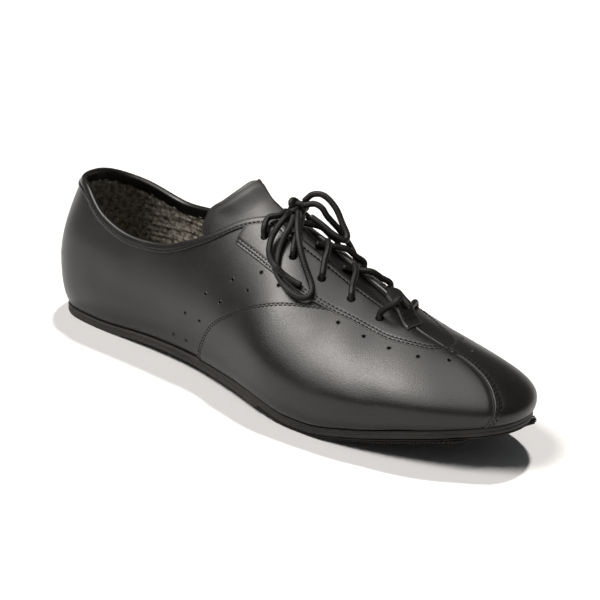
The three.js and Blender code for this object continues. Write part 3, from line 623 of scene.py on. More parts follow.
class Shell:
    """Gathers grids of points into one closed mesh."""

    def __init__(self):
        self.points = []
        self.quads = []
        self.slots = []
        self.edges = []
        self.maps = []
        self.count = 0

    def grid(self, points, slot=0, edge=0.0, around=(0.0, 0.0)):
        """A grid of columns and rows of points, with distances to the nearest edge and a map if wanted."""
        shape = points.shape[:2]
        count = shape[0] * shape[1]
        index = self.count + np.arange(count).reshape(shape)
        quads = np.stack([index[:-1, :-1], index[1:, :-1], index[1:, 1:], index[:-1, 1:]], -1)
        self.points.append(points.reshape(-1, 3))
        self.quads.append(quads.reshape(-1, 4))
        self.slots.append(np.full(len(self.quads[-1]), slot))
        self.edges.append(np.broadcast_to(edge, shape).reshape(-1))
        self.maps.append(np.broadcast_to(around, (*shape, 2)).reshape(-1, 2))
        self.count += count

    def sandwich(self, over, under, edge, under_edge, rim_slot=1):
        """Two grids, one over the other, closed by strips along their four edges."""
        self.grid(over, 0, edge)
        self.grid(under[::-1], 0, under_edge)
        for first, second in (
            (over[:, 0], under[:, 0]), (under[:, -1], over[:, -1]),
            (under[0], over[0]), (over[-1], under[-1]),
        ):
            self.grid(np.stack([first, second]), rim_slot)

    def piece(self, name, finishes, sharp=50):
        """A mesh object of the grids, welded and facing outwards."""
        maps = np.concatenate(self.maps)
        mesh = bpy.data.meshes.new(name)
        mesh.from_pydata(np.concatenate(self.points).tolist(), [], np.concatenate(self.quads).tolist())
        mesh.polygons.foreach_set("material_index", np.concatenate(self.slots).astype(np.int32))
        edge = mesh.attributes.new("edge", "FLOAT", "POINT")
        edge.data.foreach_set("value", np.concatenate(self.edges).astype(np.float32))
        along = mesh.uv_layers.new(name="along")
        corners = np.zeros(len(mesh.loops), np.int32)
        mesh.loops.foreach_get("vertex_index", corners)
        along.data.foreach_set("uv", maps[corners].astype(np.float32).reshape(-1))
        work = bmesh.new()
        work.from_mesh(mesh)
        bmesh.ops.remove_doubles(work, verts=work.verts, dist=1e-6)
        bmesh.ops.dissolve_degenerate(work, edges=work.edges, dist=1e-7)
        bmesh.ops.recalc_face_normals(work, faces=work.faces)
        work.to_mesh(mesh)
        work.free()
        for finish in finishes:
            mesh.materials.append(finish_named(finish))
        return linked(name, smoothed(mesh, sharp))


def smoothed(mesh, sharp):
    """Shades a mesh smooth, but for edges sharper than an angle in degrees."""
    mesh.shade_smooth()
    mesh.set_sharp_from_angle(angle=math.radians(sharp))
    return mesh


def linked(name, mesh):
    piece = bpy.data.objects.new(name, mesh)
    bpy.context.scene.collection.objects.link(piece)
    return piece


def place_piece(piece, slot, *nodes):
    """Makes a piece ride on the shoe and hides the solids that it stands for; its slot is not used."""
    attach(piece, "root")
    if nodes:
        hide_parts(*nodes)
    return piece


def lengths(points, axis):
    """Distance along a grid from its start, by rows (axis 1) or columns (axis 0)."""
    steps = np.linalg.norm(np.diff(points, axis=axis), axis=-1)
    start = np.zeros_like(np.take(steps, [0], axis=axis))
    return np.concatenate([start, np.cumsum(steps, axis=axis)], axis=axis)


def rounding(distance, radius):
    t = np.clip(1 - distance / radius, 0, 1)
    return radius * (1 - np.sqrt(1 - t * t))


def trough(distance, centre_line, width=0.55 * MM, depth=0.16 * MM):
    return depth * np.exp(-(((distance - centre_line) / width) ** 2))


def double_row():
    first = sizes().first_row
    return [first, first + sizes().row_gap]


class Sheet:
    """A sheet of leather on the last, whose edges are rounded and whose seams are drawn in."""

    EDGES = ("low", "high", "first", "final")

    def __init__(self, side, place, up, thickness=TOP, seams=(), heights=None, round_at=EDGES):
        side, place, up = floats(side, place, up)
        self.base = last(side, place, up)
        self.normal = outward(side, place, up)
        down = lengths(self.base, 1)
        across = lengths(self.base, 0)
        self.away = {
            "low": down,
            "high": down[:, -1:] - down,
            "first": across,
            "final": across[-1:] - across,
        }
        round_off = np.minimum.reduce([self.away[edge] for edge in round_at])
        height = thickness - rounding(round_off, SHEET_ROUND) - crease_depth(self.base)
        for edge, distance in seams:
            height = height - trough(self.away[edge], distance)
        if heights is not None:
            height = height + heights(self)
        self.edge = np.minimum.reduce([self.away[edge] for edge in self.EDGES])
        self.over = self.base + self.normal * height[..., None]
        self.under = self.base + self.normal * SHEET_UNDER

    def piece(self, name):
        shell = Shell()
        shell.sandwich(self.over, self.under, self.edge, self.edge[::-1])
        return shell.piece(name, ["upper_leather", "raw_edge"])

    def line(self, edge, distance, start=0.0, end=1.0):
        """The line of points at a distance from one edge, over part of its length."""
        away = self.away[edge]
        if edge in ("low", "high"):
            pairs = [(away[i], self.over[i]) for i in range(len(away))]
        else:
            pairs = [(away[:, i], self.over[:, i]) for i in range(away.shape[1])]
        if edge in ("high", "final"):
            pairs = [(far[::-1], points[::-1]) for far, points in pairs]
        found = np.array([
            [np.interp(distance, far, points[:, k]) for k in range(3)] for far, points in pairs])
        low = int(round(start * (len(found) - 1)))
        high = int(round(end * (len(found) - 1))) + 1
        return found[low:high]


class Value:
    """A socket of a node tree that sums can be written with."""

    def __init__(self, nodes, socket):
        self.nodes = nodes
        self.socket = socket

    def maths(self, operation, first, second):
        return self.nodes.node("ShaderNodeMath", {"operation": operation}, {0: first, 1: second})

    def __add__(self, other):
        return self.maths("ADD", self, other)

    def __radd__(self, other):
        return self.maths("ADD", other, self)

    def __sub__(self, other):
        return self.maths("SUBTRACT", self, other)

    def __rsub__(self, other):
        return self.maths("SUBTRACT", other, self)

    def __mul__(self, other):
        return self.maths("MULTIPLY", self, other)


class Nodes:
    """Adds nodes to a tree, each with its settings first and then the values or links of its sockets."""

    def __init__(self, tree):
        self.tree = tree

    def node(self, kind, settings=None, sockets=None, out=0):
        node = self.tree.nodes.new(kind)
        for name, value in (settings or {}).items():
            setattr(node, name, value)
        for name, value in (sockets or {}).items():
            self.feed(node.inputs[name], value)
        return Value(self, node.outputs[out])

    def feed(self, socket, value):
        if isinstance(value, Value):
            self.tree.links.new(value.socket, socket)
        else:
            socket.default_value = value
def tint(colour, factor):
    return [channel * factor for channel in colour]


class Finish(Nodes):
    """A material whose colour, roughness and bump are painted by nodes."""

    def __init__(self, name, colour):
        self.material = bpy.data.materials.new(f"{name}_finish")
        self.material.use_nodes = True
        super().__init__(self.material.node_tree)
        self.shader = self.tree.nodes["Principled BSDF"]
        self.position = self.node("ShaderNodeTexCoord", out="Object")
        self.colour = getattr(colours(), colour)

    def shade(self, **sockets):
        for name, value in sockets.items():
            title = name.replace("_", " ").title().replace("Ior", "IOR")
            self.feed(self.shader.inputs[title], value)
        return self.material

    def noise(self, scale, detail=3, roughness=0.5, distortion=0):
        return self.node("ShaderNodeTexNoise", {"noise_dimensions": "3D"}, {
            "Vector": self.position, "Scale": scale, "Detail": detail, "Roughness": roughness,
            "Distortion": distortion})

    def cells(self, scale, randomness=1):
        sockets = {"Vector": self.position, "Scale": scale, "Randomness": randomness}
        return self.node("ShaderNodeTexVoronoi", {"feature": "F1"}, sockets, "Distance")

    def ramp(self, value, low, high):
        """0 below low and 1 above high."""
        return self.node("ShaderNodeMapRange", {"interpolation_type": "SMOOTHSTEP"}, {
            "Value": value, "From Min": low, "From Max": high, "To Min": 0.0, "To Max": 1.0})

    def blend(self, factor, first, second):
        """A colour between two."""
        mixer = self.tree.nodes.new("ShaderNodeMix")
        mixer.data_type = "RGBA"
        for index, value in ((0, factor), (6, first), (7, second)):
            if not isinstance(value, (Value, float, int)):
                value = (*value, 1)
            self.feed(mixer.inputs[index], value)
        return Value(self, mixer.outputs[2])

    def mottle(self, value, low, high, dark, light):
        """The finish's colour, made darker and lighter by a value."""
        return self.blend(self.ramp(value, low, high), tint(self.colour, dark), tint(self.colour, light))

    def paint(self, base, share, light):
        """A lighter tint of the finish's colour over a base."""
        return self.blend(share, base, tint(self.colour, light))

    def bump(self, height, distance, strength=1.0, under=None):
        sockets = {"Height": height, "Distance": distance, "Strength": strength}
        if under is not None:
            sockets["Normal"] = under
        return self.node("ShaderNodeBump", None, sockets)


def leather_finish(name, roughness, grain, wear_and_highlight):
    """Smooth black leather: fine pores, faint cloudy wear, and edges painted lighter, partly as wear and
    partly as a painted highlight.
    """
    finish = Finish(name, "leather")
    edge = finish.node("ShaderNodeAttribute", {"attribute_name": "edge"}, None, "Fac")
    cloud = finish.noise(38, 4, 0.55)
    fleck = finish.noise(900, 3, 0.6)
    # Edges are painted lighter: partly wear, partly a painted highlight where light catches them.
    edge_wear_and_highlight = (1 - finish.ramp(edge, 0.0002, 0.0011)) * finish.ramp(fleck, 0.35, 0.75)
    base = finish.mottle(cloud, 0.3, 0.7, 0.84, 1.2)
    base = finish.paint(base, finish.ramp(fleck, 0.45, 0.85) * 0.25, 2.1)
    pores = finish.ramp(finish.cells(1150), 0.05, 0.55)
    skin = finish.noise(520, 4, 0.62, 0.4)
    folds = finish.noise(150, 2, 0.5, 0.8)
    bump = finish.bump(folds, 0.00003 * grain, 0.5)
    bump = finish.bump(skin, 0.00004 * grain, 0.7, bump)
    return finish.shade(
        base_color=finish.paint(base, edge_wear_and_highlight * wear_and_highlight, 8),
        roughness=roughness + (cloud - 0.5) * 0.22 + (fleck - 0.5) * 0.12,
        specular_ior_level=0.4,
        normal=finish.bump(pores, 0.00003 * grain, 0.8, bump))


def raw_edge_finish():
    """The cut edge of the leather, pale where the knife went through its dye."""
    finish = Finish("raw_edge", "raw_edge")
    fibre = finish.noise(1400, 3, 0.6)
    return finish.shade(
        base_color=finish.mottle(fibre, 0.3, 0.7, 0.45, 1),
        roughness=0.62 + fibre * 0.2,
        normal=finish.bump(fibre, 0.0001, 0.8))


def lining_finish():
    """Matted dark pile, clumped and showing wear, paler where its tips catch the light."""
    finish = Finish("lining_pile", "lining")
    clump = finish.noise(420, 4, 0.6, 0.2)
    fibre = finish.noise(1700, 3, 0.7, 0.2)
    base = finish.mottle(clump, 0.36, 0.62, 0.22, 1)
    return finish.shade(
        base_color=finish.paint(base, finish.ramp(fibre, 0.5, 0.8) * 0.7, 2.6),
        roughness=0.95,
        specular_ior_level=0.1,
        normal=finish.bump(fibre, 0.00012, 0.8, finish.bump(clump, 0.0004, 0.8)))


def thread_finish():
    """Twisted waxed thread."""
    finish = Finish("thread", "thread")
    twist = finish.noise(2200, 2, 0.5)
    return finish.shade(
        base_color=finish.mottle(twist, 0.35, 0.65, 0.6, 1.6),
        roughness=0.5 + twist * 0.2,
        specular_ior_level=0.2,
        normal=finish.bump(twist, 0.00006, 0.7))


def lace_finish():
    """Round braided cord, waxed black: crossing strands follow the cord's own map."""
    finish = Finish("lace_cord", "lace")
    along = finish.node("ShaderNodeUVMap", {"uv_map": "along"})
    split = finish.node("ShaderNodeSeparateXYZ", None, {"Vector": along}, "X")
    turn = finish.node("ShaderNodeSeparateXYZ", None, {"Vector": along}, "Y")
    left = finish.node("ShaderNodeMath", {"operation": "SINE"}, {0: split * 2300 + turn * 25.133})
    right = finish.node("ShaderNodeMath", {"operation": "SINE"}, {0: split * 2300 - turn * 25.133})
    braid = left * right * 0.5 + 0.5
    wax = finish.noise(260, 3, 0.6)
    lint = finish.noise(2600, 2, 0.6)
    # The braid's grooves are painted darker and its strands lighter: painted shade and painted highlight.
    base = finish.mottle(braid, 0.2, 0.8, 0.45, 1.5)
    return finish.shade(
        base_color=finish.paint(base, finish.ramp(lint, 0.55, 0.85) * 0.6, 8),
        roughness=0.5 + (wax - 0.5) * 0.3,
        specular_ior_level=0.22,
        normal=finish.bump(braid, 0.00014, 0.9))


def board_finish():
    """Hard dark sole board, faintly scuffed along its edge."""
    finish = Finish("sole_board", "sole")
    cloud = finish.noise(60, 4, 0.6)
    grit = finish.noise(1500, 3, 0.6)
    scuff = finish.ramp(finish.noise(170, 5, 0.75, 1.2), 0.56, 0.74)
    return finish.shade(
        base_color=finish.paint(finish.mottle(cloud, 0.3, 0.7, 0.8, 1.25), scuff * 0.3, 2.6),
        roughness=0.62 + (cloud - 0.5) * 0.2 + scuff * 0.12,
        specular_ior_level=0.25,
        normal=finish.bump(grit, 0.00006, 0.6))


def rubber_finish():
    """Matt rubber with road dust in its grain."""
    finish = Finish("tread_rubber", "rubber")
    grit = finish.noise(1100, 4, 0.7)
    dust = finish.ramp(finish.noise(120, 4, 0.7), 0.5, 0.75)
    return finish.shade(
        base_color=finish.paint(finish.colour, dust * 0.35, 3.2),
        roughness=0.78 + grit * 0.12,
        specular_ior_level=0.15,
        normal=finish.bump(grit, 0.0001, 0.7))


def insole_finish():
    """Fabric-faced insole, woven and mottled."""
    finish = Finish("insole_felt", "insole")
    weave = finish.cells(900, 0.25)
    cloud = finish.noise(45, 4, 0.6)
    base = finish.mottle(cloud, 0.3, 0.7, 0.7, 1.5)
    return finish.shade(
        base_color=finish.blend(finish.ramp(weave, 0.2, 0.6) * 0.5, tint(finish.colour, 2), base),
        roughness=0.9,
        normal=finish.bump(weave, 0.0002, 0.8))


def floor_finish():
    """Plain pale studio floor."""
    finish = Finish("studio_floor", "floor")
    cloud = finish.noise(1.5, 2, 0.5)
    return finish.shade(
        base_color=finish.blend(cloud, tint(finish.colour, 0.99), finish.colour),
        roughness=0.85,
        specular_ior_level=0.1)


FINISHES = {
    # The last number is how strongly edges are painted lighter, as wear and as a painted highlight.
    "upper_leather": lambda: leather_finish("upper_leather", 0.37, 1.0, 0.5),
    "band_leather": lambda: leather_finish("band_leather", 0.34, 0.7, 0.6),
    "tongue_leather": lambda: leather_finish("tongue_leather", 0.42, 1.2, 0.25),
    "raw_edge": raw_edge_finish,
    "lining_pile": lining_finish,
    "thread": thread_finish,
    "lace_cord": lace_finish,
    "sole_board": board_finish,
    "tread_rubber": rubber_finish,
    "insole_felt": insole_finish,
    "studio_floor": floor_finish,
}


def finish_named(name):
    """The finish of a name, made when it is first asked for."""
    return bpy.data.materials.get(f"{name}_finish") or FINISHES[name]()


def smooth_path(points, spacing=0.5 * MM):
    """A smooth curve through chosen points, evenly divided."""
    points = np.array(points, float)
    first = 2 * points[0] - points[1]
    final = 2 * points[-1] - points[-2]
    guide = np.vstack([first, points, final])
    fine = [points[0]]
    for a, b, c, d in zip(guide, guide[1:], guide[2:], guide[3:]):
        gaps = [max(np.linalg.norm(q - p), 1e-9) ** 0.5 for p, q in ((a, b), (b, c), (c, d))]
        knots = np.cumsum([0] + gaps)
        for t in np.linspace(knots[1], knots[2], 13)[1:]:
            ab = mix(a, b, (t - knots[0]) / (knots[1] - knots[0]))
            bc = mix(b, c, (t - knots[1]) / (knots[2] - knots[1]))
            cd = mix(c, d, (t - knots[2]) / (knots[3] - knots[2]))
            abc = mix(ab, bc, (t - knots[0]) / (knots[2] - knots[0]))
            bcd = mix(bc, cd, (t - knots[1]) / (knots[3] - knots[1]))
            fine.append(mix(abc, bcd, (t - knots[1]) / (knots[2] - knots[1])))
    fine = np.array(fine)
    far = distances(fine)
    count = max(4, int(math.ceil(far[-1] / spacing)))
    even = np.linspace(0, far[-1], count + 1)
    return np.stack([np.interp(even, far, fine[:, k]) for k in range(3)], -1)


def distances(path):
    """Distance along a path from its start."""
    return np.concatenate([[0], np.cumsum(np.linalg.norm(np.diff(path, axis=0), axis=1))])


LACE_SIDES = 14
CAPS = np.array([0.0, 0.35, 0.7, 0.92])  # how wide a lace's rounded end is, from its tip on


def add_lace(shell, path, closed=False):
    """A round lace along a path, with rounded ends and a map of its length and its turn."""
    radius = LACE / 2
    tangent = unit(np.gradient(path, axis=0))
    if closed:
        tangent = unit(np.roll(path, -1, axis=0) - np.roll(path, 1, axis=0))
    across = np.cross(tangent[0], (0.0, 0.0, 1.0))
    if np.linalg.norm(across) < 0.1:
        across = np.cross(tangent[0], (0.0, 1.0, 0.0))
    normal = [unit(across)]
    for direction in tangent[1:]:
        carried = normal[-1] - direction * (normal[-1] @ direction)
        normal.append(unit(carried))
    normal = np.array(normal)
    side = np.cross(tangent, normal)
    far = distances(path)
    if closed:
        twist = math.atan2(np.cross(normal[-1], normal[0]) @ tangent[0], normal[-1] @ normal[0])
        turns = twist * far / far[-1]
        normal, side = (
            normal * np.cos(turns)[:, None] + side * np.sin(turns)[:, None],
            side * np.cos(turns)[:, None] - normal * np.sin(turns)[:, None],
        )
        path, normal, side = [np.vstack([rows, rows[:1]]) for rows in (path, normal, side)]
        far = np.append(far, far[-1] + np.linalg.norm(path[-1] - path[-2]))
        size = np.full(len(path), radius)
    else:
        size = np.concatenate([radius * CAPS, np.full(len(path), radius), radius * CAPS[::-1]])
        back = radius * 0.7 * np.sqrt(1 - CAPS**2)
        path = np.vstack([
            path[0] - tangent[0] * back[:, None],
            path,
            path[-1] + tangent[-1] * back[::-1, None],
        ])
        normal, side = [
            np.vstack([rows[:1]] * len(CAPS) + [rows] + [rows[-1:]] * len(CAPS)) for rows in (normal, side)]
        far = np.concatenate([far[0] - back, far, far[-1] + back[::-1]])
    turn = np.linspace(0, 1, LACE_SIDES + 1)
    points = (
        path[:, None]
        + normal[:, None] * (size[:, None] * np.cos(2 * np.pi * turn))[..., None]
        + side[:, None] * (size[:, None] * np.sin(2 * np.pi * turn))[..., None]
    )
    shell.grid(points, around=stack(far[:, None], turn))


# Heights of a lace's middle over the last: on the facings, on the tongue, and on the lace under it
TONGUE_DEPTH = WALL + 2 * GAP
ON_FACING = TOP + GAP + LACE / 2
ON_TONGUE = GAP + LACE / 2 - TONGUE_DEPTH
ON_LACE = ON_TONGUE + 0.9 * LACE
IN_EYELET = -WALL - 0.2 * MM


def eyelet_up(side, eyelet):
    return eyelet[1] if side == OUTER else eyelet[2]


def strand_points(side, eyelet, following, slack, crossing):
    """A strand from its eyelet over its facing, across the tongue and under the other facing."""
    up = eyelet_up(side, eyelet)
    at = eyelet[0]
    ahead = following[0]
    edge = float(top_edge(side, mix(at, ahead, 0.2)))
    beyond = mix(at, ahead, 0.68)
    far_edge = float(top_edge(-side, beyond))
    return [
        offset(side, at, up - 0.004, IN_EYELET),
        offset(side, at, up - 0.003, TOP - 0.4 * MM),
        offset(side, mix(at, ahead, 0.03), mix(up, edge, 0.12), ON_FACING + 0.1 * LACE),
        offset(side, mix(at, ahead, 0.16), mix(up, edge, 0.6), ON_FACING + slack * 0.8),
        offset(side, mix(at, ahead, 0.28), edge + 0.02, ON_FACING + slack),
        offset(side, mix(at, ahead, 0.5), 1, crossing),
        offset(-side, beyond, mix(1, far_edge, 0.55), ON_TONGUE + 0.3 * MM),
    ]


def bar_points():
    """The lace's first bar, next to the toe, which dips through the hole of the keeper."""
    eyelet = EYELETS[4]

    def end(side):
        up = eyelet_up(side, eyelet)
        return [
            offset(side, eyelet[0], up - 0.004, IN_EYELET),
            offset(side, eyelet[0], up - 0.002, TOP - 0.2 * MM),
            offset(side, eyelet[0], up + 0.012, ON_FACING + 0.15 * LACE),
        ]

    top = KEEPER_THICKNESS + GAP + LACE / 2
    return [
        *end(OUTER),
        keeper_point(KEEPER_HOLE, -1.1, top + 0.3 * MM),
        keeper_point(KEEPER_HOLE, -0.52, top + 1 * MM),
        keeper_point(KEEPER_HOLE, 0.02, KEEPER_THICKNESS / 2),
        keeper_point(KEEPER_HOLE, 0.56, -GAP - LACE / 2 - 1 * MM),
        *end(INNER)[::-1],
    ]


def top_strand_points(side):
    """The top of the lace, from its first eyelet up to the knot."""
    eyelet = EYELETS[0]
    up = eyelet_up(side, eyelet)
    knot = np.array(KNOT)
    return [
        offset(side, eyelet[0], up - 0.01, IN_EYELET),
        offset(side, eyelet[0], up - 0.004, TOP - 0.2 * MM),
        offset(side, eyelet[0] - 0.002, up + 0.02, ON_FACING + 0.4 * LACE),
        offset(side, eyelet[0] - 0.006, mix(up, 1, 0.3), ON_FACING + 0.8 * MM),
        knot + (-LACE / 2, side * 3 * LACE, -0.8 * LACE),
        knot + (-0.8 * LACE, side * 1.4 * LACE, -0.5 * LACE),
    ]


def keeper_point(along, across, height):
    """A point of the keeper: along it from its sewn end, across it from -1 to 1, and over its underside."""
    along, across, height = floats(along, across, height)
    x = KEEPER_FRONT - HEEL_SEAT - KEEPER_LENGTH * along
    middle = ridge_line((x + HEEL_SEAT) / LENGTH) * HALF
    taper = np.sqrt(1 - np.clip((along - 0.8) / 0.2, 0, 1) ** 2 * 0.96)
    y = middle + across * (KEEPER_WIDTH / 2) * taper
    base = TOP + GAP
    rise = smoothstep(0.05, 0.46, along)
    z = mix(surface_over(x, y, base), surface_over(x, middle, base) - 0.6 * MM * across * across, rise)
    return stack(x, y, z + KEEPER_RISE * rise + height)


def lace_piece(name, *ways):
    """Lengths of lace in one piece."""
    shell = Shell()
    for way in ways:
        add_lace(shell, smooth_path(way))
    return shell.piece(name, ["lace_cord"], 80)


def knot_piece():
    """The knot: the lace wound over and under itself."""
    turns = np.linspace(0, 2 * np.pi, 91)[:-1]
    size = 1.35 * MM
    path = np.stack([
        (np.sin(turns) + 2 * np.sin(2 * turns)) * size * 0.95,
        (np.cos(turns) - 2 * np.cos(2 * turns)) * size,
        -np.sin(3 * turns) * size * 1.3,
    ], -1)
    tilt = Matrix.Rotation(math.radians(28), 3, "Y") @ Matrix.Rotation(math.radians(35), 3, "X")
    path = path @ np.array(tilt).T + KNOT
    shell = Shell()
    add_lace(shell, path, closed=True)
    return shell.piece("lace_knot_tied", ["lace_cord"], 80)


def camera_axes():
    """The camera's right, up and back directions, rolled as in the photograph."""
    turn = math.radians(CAMERA_AZIMUTH)
    rise = math.radians(CAMERA_ELEVATION)
    roll = math.radians(CAMERA_ROLL)
    back = Vector((math.sin(turn) * math.cos(rise), -math.cos(turn) * math.cos(rise), math.sin(rise)))
    level = Vector((math.cos(turn), math.sin(turn), 0))
    upright = back.cross(level)
    right = level * math.cos(roll) + upright * math.sin(roll)
    up = upright * math.cos(roll) - level * math.sin(roll)
    return right, up, back


def add_camera():
    right, up, back = camera_axes()
    lens = bpy.data.cameras.new("photo_camera")
    lens.sensor_width = SENSOR_WIDTH
    lens.lens = SENSOR_WIDTH * PIXELS_PER_METRE * CAMERA_DISTANCE / PICTURE_WIDTH
    lens.clip_start = 0.05
    lens.clip_end = 50
    camera = bpy.data.objects.new("photo_camera", lens)
    spot = Vector(CAMERA_TARGET) + back * CAMERA_DISTANCE
    camera.matrix_world = Matrix.Translation(spot) @ Matrix((right, up, back)).transposed().to_4x4()
    bpy.context.scene.collection.objects.link(camera)
    bpy.context.scene.camera = camera


def add_light(name, direction, strength, width, lights_matt=True, lights_gloss=True):
    """A far studio light: its direction from the shoe, its width in degrees, and what it lights."""
    light = bpy.data.lights.new(name, "SUN")
    light.energy = strength
    light.color = LIGHT_COLOUR
    light.angle = math.radians(width)
    lamp = bpy.data.objects.new(name, light)
    lamp.matrix_world = Vector(direction).to_track_quat("Z", "Y").to_matrix().to_4x4()
    lamp.visible_diffuse = lights_matt
    lamp.visible_glossy = lights_gloss
    bpy.context.scene.collection.objects.link(lamp)


class Builds:
    """What every operator of the shoe shares: it builds, or it raises."""

    bl_options = {"REGISTER", "UNDO"}

    def execute(self, context):
        self.build()
        return {"FINISHED"}


class SHOE_OT_camera(Builds, bpy.types.Operator):
    """Add the camera of the photograph"""

    bl_idname = "shoe.camera"
    bl_label = "Camera"

    def build(self):
        add_camera()


class SHOE_OT_bow(Builds, bpy.types.Operator):
    """Tie the bow: its knot, its two loops and its two ends"""

    bl_idname = "shoe.bow"
    bl_label = "Bow"

    def build(self):
        knot = place_piece(knot_piece(), "lace_cord", "lace_knot")
        for name, points in BOW.items():
            path = smooth_path(points)
            cord = place_piece(lace_piece(f"{name}_cord", points), "lace_cord", name)
            float(lengths(path[None], 1)[0, -1])


class SHOE_OT_lacing(Builds, bpy.types.Operator):
    """Lace the facings: three crossings, the bar through the keeper and the two top strands"""

    bl_idname = "shoe.lacing"
    bl_label = "Lacing"

    def build(self):
        for pair in (1, 2, 3):
            outer = strand_points(OUTER, EYELETS[pair], EYELETS[pair - 1], 0.6 * MM, ON_LACE)
            inner = strand_points(INNER, EYELETS[pair], EYELETS[pair - 1], 0.15 * MM, ON_TONGUE)
            place_piece(lace_piece(f"crossing_{pair}", outer, inner), "lace_cord", f"lace_cross_{pair}")
        place_piece(lace_piece("first_bar", bar_points()), "lace_cord", "lace_bar")
        for side, name in ((OUTER, "outer"), (INNER, "inner")):
            strand = lace_piece(f"strand_{name}", top_strand_points(side))
            place_piece(strand, "lace_cord", f"top_strand_{name}")


def merged(*parts):
    """Places from several rows of them, in order and without doubles."""
    return np.unique(np.round(np.concatenate(parts), 6))


def wall_columns(count):
    """Places from heel to toe, closer at the collar's corner and the throat's base."""
    base = np.linspace(throat_place - 0.02, throat_place + 0.004, 9)
    return merged(np.linspace(0, 1, count + 1), np.linspace(0.46, 0.54, 17), base)


def ring_of_wall(count):
    """Sides and places right round the shoe, from the toe along the outer side and back."""
    places = wall_columns(count)
    side = np.concatenate([np.full(len(places), OUTER), np.full(len(places) - 1, INNER)])
    place = np.concatenate([places[::-1], places[1:]])
    return side[:, None], place[:, None]


def open_columns(place):
    """The columns that end at the collar or the throat, up to where the two sides meet."""
    found = np.flatnonzero(place[:, 0] < throat_place)
    return slice(found[0] - 1, found[-1] + 2)
def hollow_wall(place, outer, inner, edge, rim_slot):
    """A wall round the shoe, closed along its foot and along the rim of its opening."""
    shell = Shell()
    shell.grid(outer, 0, edge)
    shell.grid(inner[::-1], 0, edge)
    shell.grid(np.stack([inner[:, 0], outer[:, 0]], 1), 0, edge)
    opening = open_columns(place)
    shell.grid(np.stack([outer[opening, -1], inner[opening, -1]], 1), rim_slot)
    return shell

def eyelet_holes(sides=(OUTER, INNER)):
    return [(side, eyelet[0], eyelet_up(side, eyelet)) for side in sides for eyelet in EYELETS]


def pin_holes(spots, sides=(OUTER, INNER)):
    return [(side, place, up) for side in sides for place, up in spots]


class Pattern(Nodes):
    """A geometry node tree with named inputs, which ends in real, finished mesh."""

    def __init__(self, name, inputs):
        super().__init__(bpy.data.node_groups.new(name, "GeometryNodeTree"))
        face = self.tree.interface
        face.new_socket("Geometry", in_out="INPUT", socket_type="NodeSocketGeometry")
        face.new_socket("Geometry", in_out="OUTPUT", socket_type="NodeSocketGeometry")
        for socket in inputs:
            face.new_socket(socket, in_out="INPUT", socket_type="NodeSocketFloat")
        face.new_socket("Finish", in_out="INPUT", socket_type="NodeSocketMaterial")
        self.start = self.tree.nodes.new("NodeGroupInput")

    def given(self, name):
        return Value(self, self.start.outputs[name])

    def end(self, instances):
        real = self.node("GeometryNodeRealizeInstances", None, {"Geometry": instances})
        sockets = {"Geometry": real, "Material": self.given("Finish")}
        dressed = self.node("GeometryNodeSetMaterial", None, sockets)
        end = self.tree.nodes.new("NodeGroupOutput")
        self.feed(end.inputs["Geometry"], dressed)
        return self.tree

    def scaled(self, x, y, z):
        return self.node("ShaderNodeCombineXYZ", None, {"X": x, "Y": y, "Z": z})

    def along_lines(self, pitch):
        """Points at even steps along the lines of the mesh that is given, and the way of the line there."""
        line = self.node("GeometryNodeMeshToCurve", None, {"Mesh": self.given("Geometry")})
        dots = self.node("GeometryNodeResampleCurve", {"mode": "LENGTH"}, {"Curve": line, "Length": pitch})
        tangent = self.node("GeometryNodeInputTangent")
        return dots, self.aimed("X", tangent)

    def at_holes(self):
        """A point at every vertex of the mesh that is given, and the way square to the leather there."""
        dots = self.node("GeometryNodeMeshToPoints", None, {"Mesh": self.given("Geometry")})
        return dots, self.aimed("Z", self.named("square", "FLOAT_VECTOR"))

    def circle(self, resolution, radius):
        return self.node(
            "GeometryNodeCurvePrimitiveCircle", None, {"Resolution": resolution, "Radius": radius})

    def aimed(self, axis, vector):
        return self.node("FunctionNodeAlignRotationToVector", {"axis": axis}, {"Vector": vector})

    def named(self, name, kind):
        return self.node("GeometryNodeInputNamedAttribute", {"data_type": kind}, {"Name": name})

    def copies(self, places, instance, scale):
        """Copies of an instance at points, turned their way, and the end of the tree."""
        points, rotation = places
        return self.end(self.node("GeometryNodeInstanceOnPoints", None, {
            "Points": points, "Instance": instance, "Rotation": rotation, "Scale": scale}))


def stitch_pattern():
    """Stitches of thread along every line of the mesh that it is given."""
    pattern = Pattern("stitches", ["Stitch Length", "Stitch Gap", "Thread Thickness"])
    length = pattern.given("Stitch Length")
    thick = pattern.given("Thread Thickness")
    bead = pattern.node("GeometryNodeMeshUVSphere", None, {"Segments": 8, "Rings": 6, "Radius": 0.5})
    places = pattern.along_lines(length + pattern.given("Stitch Gap"))
    return pattern.copies(places, bead, pattern.scaled(length, thick, thick))


def punch_pattern():
    """A straight punch at every point, square to the leather."""
    pattern = Pattern("punches", ["Diameter", "Depth"])
    tool = pattern.node("GeometryNodeMeshCylinder", None, {"Vertices": 20, "Radius": 0.5, "Depth": 1.0})
    wide = pattern.given("Diameter")
    return pattern.copies(pattern.at_holes(), tool, pattern.scaled(wide, wide, pattern.given("Depth")))


def rim_pattern():
    """The soft raised rim that a punch leaves round a hole."""
    pattern = Pattern("punched_rims", ["Diameter", "Rim"])
    rim = pattern.given("Rim")
    ring = pattern.circle(20, pattern.given("Diameter") * 0.5 + rim * 0.3)
    bead = pattern.circle(6, rim * 0.5)
    hoop = pattern.node("GeometryNodeCurveToMesh", None, {"Curve": ring, "Profile Curve": bead})
    return pattern.copies(pattern.at_holes(), hoop, pattern.scaled(1.0, 1.0, 0.7))


